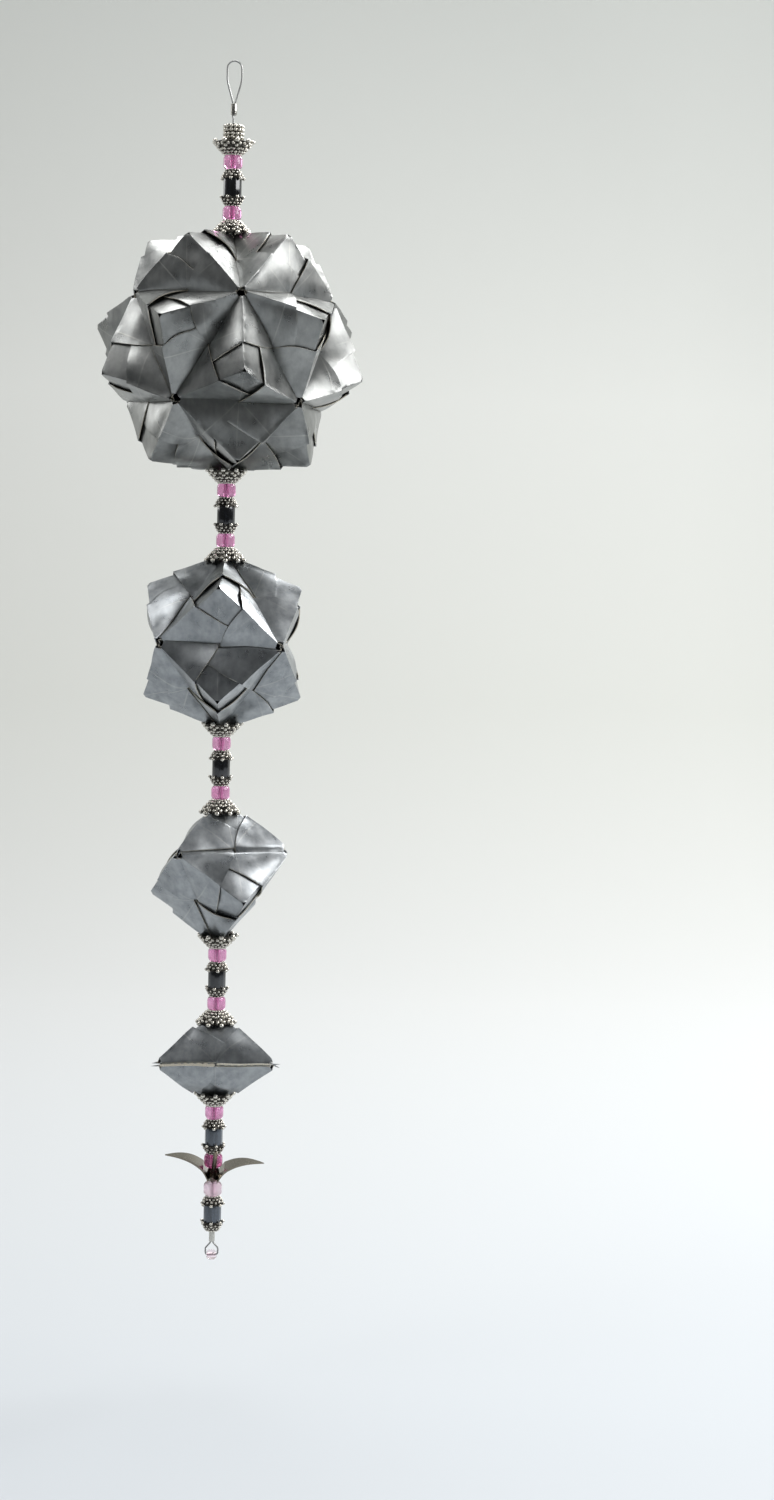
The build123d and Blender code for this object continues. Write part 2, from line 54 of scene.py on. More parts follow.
LOG = logging.getLogger("strand")
MM = 0.001
BODY = "root"
NOISE_SEED = 4  # without a seed, the waves of the paper differ from run to run
SAME_POINT = 0.002 * MM
TOUCHING = 0.001 * MM
DECIMALS = 7
SLACK = 1e-7


# Small helpers


def linear(code: str) -> tuple[float, ...]:
    """Linear colour of an sRGB hex code.

    Args:
        code: Six hex digits after a hash sign.

    Returns:
        Red, green, blue and alpha for a shader socket.
    """
    channels = [int(code[place:place + 2], 16) / 255 for place in (1, 3, 5)]
    bent = [c / 12.92 if c <= 0.04045 else ((c + 0.055) / 1.055) ** 2.4 for c in channels]
    return (bent[0], bent[1], bent[2], 1.0)


def choose(piece: Piece) -> None:
    """Leaves one piece selected and active.

    Args:
        piece: The piece.
    """
    bpy.ops.object.select_all(action="DESELECT")
    piece.select_set(True)
    bpy.context.view_layer.objects.active = piece


@contextmanager
def editing(piece: Piece, mode: str = "FACE") -> Iterator[None]:
    """Edit mode on one piece, with nothing selected at its start.

    Args:
        piece: The mesh to edit.
        mode: Kind of element that is selected, as the select mode names it.
    """
    choose(piece)
    bpy.ops.object.mode_set(mode="EDIT")
    bpy.ops.mesh.select_mode(type=mode)
    bpy.ops.mesh.select_all(action="DESELECT")
    yield
    bpy.ops.object.mode_set(mode="OBJECT")


def pick(piece: Piece, test: Callable[[Any], bool], edges: bool = False) -> None:
    """Selects just the faces or edges that pass a test, in edit mode.

    Args:
        piece: The mesh in edit mode.
        test: Whether an element is wanted.
        edges: Whether edges are meant, and not faces.
    """
    mesh = bmesh.from_edit_mesh(piece.data)
    elements = mesh.edges if edges else mesh.faces
    for element in elements:
        element.select_set(False)
    for element in elements:
        if test(element):
            element.select_set(True)
    bmesh.update_edit_mesh(piece.data)


def pick_ends(piece: Piece) -> None:
    """Selects the faces that look straight up or down, in edit mode."""
    pick(piece, lambda face: abs(face.normal.z) > 0.9)


def finish_with(piece: Piece, kind: str, **settings: Any) -> None:
    """Adds a modifier to a piece and applies it.

    Args:
        piece: The mesh to change.
        kind: Modifier type.
        settings: Values of the modifier.
    """
    choose(piece)
    modifier = piece.modifiers.new(kind.title(), kind)
    for name, value in settings.items():
        setattr(modifier, name, value)
    bpy.ops.object.modifier_apply(modifier=modifier.name)


def smoothed(piece: Piece, degrees: float = 40.0) -> None:
    """Shades a piece smooth except across edges sharper than the angle."""
    choose(piece)
    bpy.ops.object.shade_smooth_by_angle(angle=math.radians(degrees))


def linked(name: str, data: Any) -> Piece:
    """Puts a new object into the scene.

    Args:
        name: Its name.
        data: Its mesh, light or camera.

    Returns:
        The object.
    """
    made = bpy.data.objects.new(name, data)
    bpy.context.scene.collection.objects.link(made)
    return made


def copied(piece: Piece, place: Matrix, name: str) -> Piece:
    """A copy with its own mesh, placed in the mesh.

    Args:
        piece: The piece to copy.
        place: Where the copy goes, from the piece's own place.
        name: Name of the copy.

    Returns:
        The new object, at the origin.
    """
    mesh = piece.data.copy()
    mesh.transform(place)
    return linked(name, mesh)


def dropped(piece: Piece) -> None:
    """Removes a working piece."""
    bpy.data.objects.remove(piece)


def set_in_mesh(piece: Piece) -> None:
    """Moves a piece's place, turn and scale into its mesh."""
    choose(piece)
    bpy.ops.object.transform_apply(location=True, rotation=True, scale=True)


def points_of(piece: Piece) -> np.ndarray:
    """Places of a piece's vertices, one in each row."""
    return np.array([vertex.co[:] for vertex in piece.data.vertices])


def dressed(piece: Piece, *materials: Material) -> None:
    """Gives a piece its materials, in the order of its faces' slots.

    Args:
        piece: The piece.
        materials: One material for each slot.
    """
    # Clearing puts every face back in the first slot, so an empty list is left alone.
    if piece.data.materials:
        piece.data.materials.clear()
    for material in materials:
        piece.data.materials.append(material)


# Finishes


class Recipe:
    """A node tree in the making, of a finish or of the room."""

    def __init__(self, owner: Material | bpy.types.World, output: str = "OutputMaterial") -> None:
        """Empties the owner's tree and gives it its output node.

        Args:
            owner: The material or world.
            output: Kind of its output node.
        """
        owner.use_nodes = True
        self.owner = owner
        self.tree = owner.node_tree
        self.tree.nodes.clear()
        self.output = self.node(output)

    def node(self, kind: str, inputs: dict[Any, Any] | None = None, **settings: Any) -> bpy.types.Node:
        """Adds a node, sets it and fills its inputs.

        Args:
            kind: Node type without the ShaderNode in front.
            inputs: Value or socket for each input, by name or number.
            settings: Properties of the node.

        Returns:
            The new node.
        """
        made = self.tree.nodes.new("ShaderNode" + kind)
        for name, value in settings.items():
            setattr(made, name, value)
        for key, value in (inputs or {}).items():
            if isinstance(value, Socket):
                self.tree.links.new(value, made.inputs[key])
            else:
                made.inputs[key].default_value = value
        return made

    def end(self, shader: bpy.types.Node) -> None:
        """Links a shader to the output."""
        self.tree.links.new(shader.outputs[0], self.output.inputs["Surface"])

    def math(self, operation: str, *values: Any) -> Socket:
        """Result of a Math node on one to three values or sockets."""
        return self.node("Math", dict(enumerate(values)), operation=operation).outputs[0]

    def ramp(self, factor: Socket, stops: list[tuple[float, str]]) -> Socket:
        """Colour from a ramp.

        Args:
            factor: Where along the ramp.
            stops: Place and hex colour of each stop, lowest first.

        Returns:
            The colour socket.
        """
        made = self.node("ValToRGB", {"Fac": factor})
        band = made.color_ramp
        while len(band.elements) < len(stops):
            band.elements.new(1.0)
        for element, (place, code) in zip(band.elements, stops):
            element.position = place
            element.color = linear(code)
        return made.outputs["Color"]

    def spread(self, value: Socket, low: float, high: float,
               source: Range = (0.0, 1.0)) -> Socket:
        """A value moved from one range to another, held inside it."""
        return self.node("MapRange", {"Value": value, "From Min": source[0], "From Max": source[1],
                                      "To Min": low, "To Max": high}).outputs["Result"]

    def grain(self, scale: float, detail: float = 3.0, stretch: Triple = (1, 1, 1),
              roughness: float = 0.5) -> Socket:
        """Noise on the piece's own coordinates.

        Args:
            scale: Size of one cell in millimetres.
            detail: Octaves.
            stretch: Scale along each axis.
            roughness: Strength of the finer octaves.

        Returns:
            The noise value.
        """
        place = self.node("TexCoord").outputs["Object"]
        mapped = self.node("Mapping", {"Vector": place, "Scale": stretch}).outputs["Vector"]
        return self.node("TexNoise", {"Vector": mapped, "Scale": 1 / (scale * MM), "Detail": detail,
                                      "Roughness": roughness}).outputs["Fac"]

    def bump(self, height: Socket, rise: float, under: Socket | None = None) -> Socket:
        """Normal bent by a height.

        Args:
            height: Height from 0 to 1.
            rise: Height of 1 in millimetres.
            under: Normal to start from.

        Returns:
            The normal socket.
        """
        inputs = {"Height": height, "Distance": rise * MM}
        if under is not None:
            inputs["Normal"] = under
        return self.node("Bump", inputs).outputs["Normal"]


@dataclass(frozen=True)
class Finish:
    """A finish of the strand. Sizes in every finish are in millimetres."""

    name: str

    def inputs(self, recipe: Recipe) -> dict[str, Any]:
        """What the finish gives its shader.

        Args:
            recipe: The recipe of the finish.

        Returns:
            Values and sockets of the Principled shader, by name.
        """
        raise NotImplementedError

    def build(self) -> Material:
        """Makes the material.

        Returns:
            The material.
        """
        recipe = Recipe(bpy.data.materials.new(self.name))
        recipe.end(recipe.node("BsdfPrincipled", self.inputs(recipe)))
        return recipe.owner


@dataclass(frozen=True)
class SilverPaper(Finish):
    """Metallised paper: a vacuum-coated aluminium film on a white sheet, dulled and clouded by handling.

    The film gives the grey mirror-like sheen, the sheet's fibres its fine tooth, and every fold cracks the
    film a little, so folds and old creases show as pale dull lines.
    """

    bright: str
    dull: str
    cloud: float = 5.0
    smear: float = 1.6
    fibre: float = 0.45  # real fibres are about 0.03 mm wide and wouldn't show
    patch: float = 9.0
    ripple: float = 5.5
    streak: float = 6.0
    leg: float = 17.96
    bare_sheet: str = "#dedcd4"

    def line(self, recipe: Recipe, place: Socket, at: float, half_width: float) -> Socket:
        """Line of 1 where a fold coordinate is near a value, fading over its half width."""
        gap = recipe.math("ABSOLUTE", recipe.math("SUBTRACT", place, at))
        return recipe.spread(gap, 1.0, 0.0, (half_width / self.leg * 0.3, half_width / self.leg))

    def creases(self, recipe: Recipe, sheet: Socket) -> Socket:
        """Old creases, square to the sheet and across it, that come and go in patches.

        Args:
            recipe: The recipe.
            sheet: The fold coordinates.

        Returns:
            Strength of the creases.
        """
        parts = recipe.node("SeparateXYZ", {"Vector": sheet})
        across, along = parts.outputs["X"], parts.outputs["Y"]
        lines = self.line(recipe, recipe.math("SUBTRACT", across, along), 0.0, 0.20)
        for place in (across, along):
            lines = recipe.math("MAXIMUM", lines, self.line(recipe, place, 0.5, 0.18))
        patches = recipe.spread(recipe.grain(self.patch, 2.0), 0.0, 0.26, (0.40, 0.62))
        return recipe.math("MULTIPLY", lines, patches)

    def inputs(self, recipe: Recipe) -> dict[str, Any]:
        """Clouded film with bare sheet in its creases, on a sheet that isn't quite flat.

        Args:
            recipe: The recipe of the finish.

        Returns:
            The shader's inputs.
        """
        sheet = recipe.node("UVMap", uv_map="folds").outputs["UV"]
        creases = self.creases(recipe, sheet)
        clouds = recipe.grain(self.cloud, 4.0, roughness=0.62)
        smears = recipe.math("MULTIPLY", recipe.grain(self.smear, 3.0, (1.0, 1.0, 0.5), 0.55), 0.4)
        mottle = recipe.math("ADD", recipe.math("MULTIPLY", clouds, 0.6), smears)
        film = recipe.ramp(mottle, [(0.30, self.dull), (0.64, self.bright)])
        blend = {0: creases, 6: film, 7: linear(self.bare_sheet)}
        rough = recipe.spread(clouds, 0.27, 0.38, (0.35, 0.65))
        drawn = recipe.node("Mapping", {"Vector": sheet, "Rotation": (0.0, 0.0, 0.7),
                                        "Scale": (1.0, 0.3, 1.0)}).outputs["Vector"]
        streaks = recipe.node("TexNoise", {"Vector": drawn, "Scale": self.leg / self.streak,
                                           "Detail": 1.0}).outputs["Fac"]
        normal = recipe.bump(recipe.grain(self.fibre), 0.006)
        for height, rise in ((recipe.grain(self.ripple, 1.0), 0.12), (streaks, 0.34), (creases, 0.02)):
            normal = recipe.bump(height, rise, normal)
        return {"Base Color": recipe.node("Mix", blend, data_type="RGBA").outputs[2],
                "Metallic": recipe.math("SUBTRACT", 0.88, recipe.math("MULTIPLY", creases, 0.5)),
                "Roughness": recipe.math("ADD", rough, recipe.math("MULTIPLY", creases, 0.2)),
                "Normal": normal}


@dataclass(frozen=True)
class WornFold(Finish):
    """Folded edge of the metallised paper: its film is cracked, so a dull pale line shows."""

    crack: float = 0.7  # real cracks are finer than 0.1 mm and wouldn't show

    def inputs(self, recipe: Recipe) -> dict[str, Any]:
        """Bare sheet where the cracks are, and film between them."""
        cracks = recipe.grain(self.crack)
        return {"Base Color": recipe.ramp(cracks, [(0.38, "#8e8f8d"), (0.60, "#dcdbd5")]),
                "Metallic": recipe.spread(cracks, 0.85, 0.35, (0.38, 0.60)),
                "Roughness": 0.42, "Normal": recipe.bump(cracks, 0.01)}


@dataclass(frozen=True)
class PaperCore(Finish):
    """Cut edge of the paper: bare pulp, matt and slightly yellow, with its fibres showing."""

    fibre: float = 0.12  # real fibres are about 0.03 mm wide and wouldn't show

    def inputs(self, recipe: Recipe) -> dict[str, Any]:
        """Mottled matt pulp."""
        fibres = recipe.grain(self.fibre)
        return {"Base Color": recipe.ramp(fibres, [(0.3, "#b3ac9c"), (0.7, "#dcd6c6")]), "Roughness": 0.85,
                "Normal": recipe.bump(fibres, 0.02)}


@dataclass(frozen=True)
class CastMetal(Finish):
    """Plated casting, blackened in a bath and rubbed: bright where the cloth reached and dark elsewhere."""

    bright: str
    dark: str
    roughness: float = 0.28
    rubbed: float = 0.5
    speck: float = 0.30

    def inputs(self, recipe: Recipe) -> dict[str, Any]:
        """Specks of black in the rubbed plate, duller than it.

        Args:
            recipe: The recipe of the finish.

        Returns:
            The shader's inputs.
        """
        specks = recipe.grain(self.speck)
        share = recipe.spread(specks, 0.0, 1.0, (0.55 - self.rubbed * 0.4, 0.80 - self.rubbed * 0.4))
        return {"Base Color": recipe.ramp(share, [(0.0, self.dark), (1.0, self.bright)]), "Metallic": 1.0,
                "Roughness": recipe.spread(share, self.roughness + 0.2, self.roughness),
                "Normal": recipe.bump(specks, 0.015)}


@dataclass(frozen=True)
class TintedGlass(Finish):
    """Drawn glass cane, cut and fire-rounded: clear, with its colour in faint lengthwise streaks."""

    colour: str
    streak: str
    clear: float = 0.7
    roughness: float = 0.04
    width: float = 1.2

    def inputs(self, recipe: Recipe) -> dict[str, Any]:
        """Glossy clear glass, streaked along the wire."""
        lines = recipe.grain(self.width, 1.0, (1.0, 1.0, 0.1))
        return {"Base Color": recipe.ramp(lines, [(0.35, self.colour), (0.65, self.streak)]),
                "Roughness": self.roughness, "IOR": 1.50, "Transmission Weight": self.clear}


@dataclass(frozen=True)
class PolishedStone(Finish):
    """Polished haematite: black iron-oxide stone with a metallic skin and faint lines from grinding."""

    colour: str
    edge: str
    scratch: float = 0.4  # real grinding lines are about 0.05 mm wide and wouldn't show

    def inputs(self, recipe: Recipe) -> dict[str, Any]:
        """Dark gloss with fine lines along the wire."""
        lines = recipe.grain(self.scratch, 3.0, (1.0, 1.0, 0.12))
        return {"Base Color": recipe.ramp(lines, [(0.35, self.colour), (0.7, self.edge)]), "Metallic": 0.5,
                "Roughness": recipe.spread(lines, 0.08, 0.18, (0.3, 0.7)), "IOR": 2.0,
                "Coat Weight": 0.4, "Coat Roughness": 0.05, "Normal": recipe.bump(lines, 0.005)}


@dataclass(frozen=True)
class CoatedCable(Finish):
    """Beading cable: fine steel strands twisted together under a clear nylon skin."""

    twist: float = 0.9
    waves: float = 1.1  # bands 0.29 mm apart: the real strands are finer and wouldn't show

    def inputs(self, recipe: Recipe) -> dict[str, Any]:
        """Slanting strands under a gloss coat.

        Args:
            recipe: The recipe of the finish.

        Returns:
            The shader's inputs.
        """
        place = recipe.node("TexCoord").outputs["Object"]
        turned = recipe.node("Mapping", {"Vector": place, "Rotation": (0.0, self.twist, 0.0)})
        bands = {"Vector": turned.outputs[0], "Scale": self.waves / MM, "Distortion": 0.6, "Detail": 1.0}
        strands = recipe.node("TexWave", bands, wave_type="BANDS", bands_direction="X").outputs["Fac"]
        return {"Base Color": recipe.ramp(strands, [(0.1, "#6f7070"), (0.7, "#b9bab8")]), "Metallic": 0.8,
                "Roughness": 0.32, "Coat Weight": 0.5, "Coat Roughness": 0.15,
                "Normal": recipe.bump(strands, 0.02)}


def finishes() -> dict[str, Material]:
    """Every finish of the strand, made once, by name."""
    kinds = (
        SilverPaper("silver_paper_warm", "#a2a3a1", "#7a7c7b"),
        SilverPaper("silver_paper_cool", "#a8abad", "#797d80", cloud=3.6),
        WornFold("worn_fold"),
        PaperCore("paper_core"),
        CastMetal("blackened_silver", "#77736c", "#2b2926", roughness=0.34, rubbed=0.25),
        CastMetal("rubbed_silver", "#dedad0", "#7f7b72", roughness=0.27, rubbed=0.85),
        CastMetal("crane_pewter", "#857e73", "#6a645b", roughness=0.20, rubbed=0.9),
        CastMetal("crimp_plate", "#c8c6bf", "#6b6962", roughness=0.25, rubbed=0.9),
        TintedGlass("pink_glass", "#f2a6d6", "#f5b6de"),
        TintedGlass("deep_pink_glass", "#e57fbd", "#ea90c6"),
        TintedGlass("pale_pink_glass", "#f8dbe9", "#fbe9f2"),
        TintedGlass("clear_glass", "#fbeaf2", "#fdf4f8", clear=0.92),
        PolishedStone("haematite_black", "#14161a", "#23262c"),
        PolishedStone("haematite_slate", "#343b44", "#4c5662"),
        CoatedCable("coated_cable"),
    )
    return {kind.name: kind.build() for kind in kinds}


# Where the frame says the pieces are


@dataclass(frozen=True)
class Span:
    """One solid on the wire: its ends, its radius and whether its wider end is up."""

    low: float
    high: float
    radius: float
    wide_top: bool

    @property
    def length(self) -> float:
        """Height of the solid."""
        return self.high - self.low

    @property
    def middle(self) -> float:
        """Height of its middle."""
        return (self.high + self.low) / 2


def solids_on_wire(node: str) -> list[Span]:
    """Separate solids of a CAD node, which stand one above another.

    Args:
        node: Name of the node.

    Returns:
        One span for each solid, from the top down.
    """
    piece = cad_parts[node]
    points = points_of(piece)
    heights = sorted((min(points[i][2] for i in face.vertices), max(points[i][2] for i in face.vertices))
                     for face in piece.data.polygons)
    ends: list[list[float]] = []
    for low, high in heights:
        if ends and low <= ends[-1][1] + TOUCHING:
            ends[-1][1] = max(ends[-1][1], high)
        else:
            ends.append([low, high])
    spans = []
    for low, high in ends:
        inside = points[(points[:, 2] >= low - SLACK) & (points[:, 2] <= high + SLACK)]
        reach = np.hypot(inside[:, 0], inside[:, 1])
        third = (high - low) / 3
        top = reach[inside[:, 2] > high - third].max()
        bottom = reach[inside[:, 2] < low + third].max()
        spans.append(Span(float(low), float(high), float(reach.max()), bool(top > bottom)))
    return spans[::-1]


# Folded paper balls


class Solid(Enum):
    """Solid whose edges carry the folded units of a ball."""

    ICOSAHEDRON = "icosahedron"
    OCTAHEDRON = "octahedron"
    TETRAHEDRON = "tetrahedron"
    TRIANGLE = "triangle"


def ring_of(count: int, radius: float, height: float, first: float = 0.0) -> list[Vector]:
    """Points evenly spaced round the wire, the first one toward the front."""
    turns = [math.radians(first + 360 * number / count) for number in range(count)]
    return [Vector((radius * math.sin(turn), -radius * math.cos(turn), height)) for turn in turns]


def corners_of(solid: Solid, edge: float) -> list[Vector]:
    """Corners of a solid about its middle.

    Args:
        solid: Which solid.
        edge: Length of its edges.

    Returns:
        Its corners, as the CAD part lays them out.
    """
    if solid is Solid.ICOSAHEDRON:
        radius = edge * math.sqrt(10 + 2 * math.sqrt(5)) / 4
        height = radius / math.sqrt(5)
        rings = ring_of(5, 2 * height, height) + ring_of(5, 2 * height, -height, 36)
        return [Vector((0, 0, radius))] + rings + [Vector((0, 0, -radius))]
    if solid is Solid.OCTAHEDRON:
        radius = edge / math.sqrt(2)
        return [Vector((0, 0, radius))] + ring_of(4, radius, 0, 45) + [Vector((0, 0, -radius))]
    if solid is Solid.TETRAHEDRON:
        radius = edge * math.sqrt(6) / 4
        return ring_of(3, edge / math.sqrt(3), radius / 3) + [Vector((0, 0, -radius))]
    return ring_of(3, edge / math.sqrt(3), 0, 60)


@dataclass
class FoldedFace:
    """One of the faces that a unit lies on: a right-angled triangle with its corner at a pyramid's tip."""

    to_face: Matrix
    leg: float

    @classmethod
    def at(cls, corner: Vector, toward_x: Vector, toward_y: Vector, leg: float) -> "FoldedFace":
        """Face through a tip and two feet, with its normal pointing out of the ball.

        Args:
            corner: The tip.
            toward_x: Foot that the face's first axis points at.
            toward_y: Foot that its second axis points at.
            leg: Length of its short sides.

        Returns:
            The face.
        """
        x_axis = (toward_x - corner).normalized()
        y_axis = (toward_y - corner).normalized()
        from_face = Matrix((x_axis, y_axis, x_axis.cross(y_axis))).transposed().to_4x4()
        from_face.translation = corner
        return cls(from_face.inverted(), leg)

    def local(self, points: np.ndarray) -> np.ndarray:
        """Points in the space of the face."""
        turn = np.array(self.to_face.to_3x3())
        return points @ turn.T + np.array(self.to_face.translation)

    def outward(self, vectors: np.ndarray) -> np.ndarray:
        """Vectors of the face turned back into the space of the unit."""
        return vectors @ np.array(self.to_face.to_3x3())


@dataclass
class PaperUnit:
    """One folded sheet in its own space: how its faces belly out and its free edges curl.

    Lengths are in metres. Each sheet draws its lifts and bows from ranges in millimetres.
    """

    edge: float
    valley_angle: float
    edge_share: float = 0.36
    levels: Triple = (0.13 * MM, 0.435 * MM, 0.80 * MM)
    belly: float = 0.55 * MM
    belly_levels: Range = (-0.4 * MM, 1.2 * MM)
    tab_lift: Range = (0.10, 0.55)
    tab_bow: Range = (0.1, 1.0)
    flap_lift: Range = (0.0, 0.35)
    flap_bow: Range = (-0.1, 0.8)
    curl_reach: float = 5.0 * MM
    overhang: float = 0.3 * MM

    def faces(self) -> list[tuple[FoldedFace, FoldedFace]]:
        """The faces that the two halves lie on.

        Returns:
            For each half, the unit's own face and the face that its tab crosses.
        """
        leg = self.edge / math.sqrt(2)
        half = self.valley_angle / 2
        foot = Vector((self.edge / 2, 0, 0))
        other_foot = Vector((-self.edge / 2, 0, 0))
        apex = Vector((0, -math.sin(half), math.cos(half))) * (self.edge / 2)
        own = FoldedFace.at(apex, foot, other_foot, leg)
        normal = (foot - apex).normalized().cross((other_foot - apex).normalized())
        beyond = FoldedFace.at(apex, apex - normal * leg, foot, leg)
        turn = Matrix.Rotation(math.pi, 4, "Z")
        other_half = (FoldedFace(own.to_face @ turn, leg), FoldedFace(beyond.to_face @ turn, leg))
        return [(own, beyond), other_half]

    def curled(self, points: np.ndarray, dice: random.Random) -> np.ndarray:
        """Points with the faces bellied and the free edges of tab and flap bowed and lifted.

        Args:
            points: Points of the unit.
            dice: Source of this unit's own amounts.

        Returns:
            The moved points.
        """
        moved = points.copy()
        leg = self.edge / math.sqrt(2)
        cut = self.edge_share * leg
        slope = 1 - 2 * self.edge_share
        for own, beyond in self.faces():
            moved += self.belly_move(own, points) + self.belly_move(beyond, points)
            lift, bow = dice.uniform(*self.tab_lift) * MM, dice.uniform(*self.tab_bow) * MM
            start, end = np.array([0.0, cut]), np.array([leg / 2, leg / 2])
            moved += self.edge_move(beyond, points, start, end, self.levels[1:], lift, bow)
            lift, bow = dice.uniform(*self.flap_lift) * MM, dice.uniform(*self.flap_bow) * MM
            start = np.array([cut, 0.0])
            end = start + np.array([-slope, 1.0]) * (cut / (1 + slope * slope))
            moved += self.edge_move(own, points, start, end, self.levels[:2], lift, bow)
        return moved

    def belly_move(self, face: FoldedFace, points: np.ndarray) -> np.ndarray:
        """How far points on a face move out, none at its three folds and most in its middle.

        Args:
            face: The face.
            points: Points of the unit.

        Returns:
            Moves in the space of the unit.
        """
        local = face.local(points)
        across, along = local[:, 0] / face.leg, local[:, 1] / face.leg
        # The product of the three shares is at most 1/27, in the middle.
        share = 27 * np.clip(across, 0, 1) * np.clip(along, 0, 1) * np.clip(1 - across - along, 0, 1)
        share *= (local[:, 2] > self.belly_levels[0]) & (local[:, 2] < self.belly_levels[1])
        move = np.zeros_like(points)
        move[:, 2] = share * self.belly
        return face.outward(move)

    def edge_move(self, face: FoldedFace, points: np.ndarray, start: np.ndarray, end: np.ndarray,
                  levels: tuple[float, ...], lift: float, bow: float) -> np.ndarray:
        """How far points near one free edge move.

        Args:
            face: Face that the ply lies on.
            points: Points of the unit.
            start: Start of the free edge, in the face.
            end: End of the free edge.
            levels: Heights between which the ply lies.
            lift: Rise of the edge at its middle.
            bow: How far the edge's middle moves toward the tip of the pyramid.

        Returns:
            Moves in the space of the unit.
        """
        local = face.local(points)
        along = (end - start) / np.linalg.norm(end - start)
        side = np.array([along[1], -along[0]])
        if side @ start > 0:
            side = -side
        offset = local[:, :2] - start
        share = offset @ along / np.linalg.norm(end - start)
        inside = -(offset @ side)
        on_ply = (share > 0) & (share < 1) & (local[:, :2] > 0).all(axis=1)
        on_ply &= (local[:, 2] > levels[0]) & (local[:, 2] < levels[1])
        on_ply &= (inside > -self.overhang) & (inside < self.curl_reach)
        fade = (1 - np.clip(inside, 0, self.curl_reach) / self.curl_reach) ** 2
        weight = np.where(on_ply, np.sin(np.clip(share, 0, 1) * math.pi) * fade, 0)
        move = np.zeros_like(points)
        move[:, :2] = side * (weight * bow)[:, None]
        move[:, 2] = weight * lift
        return face.outward(move)


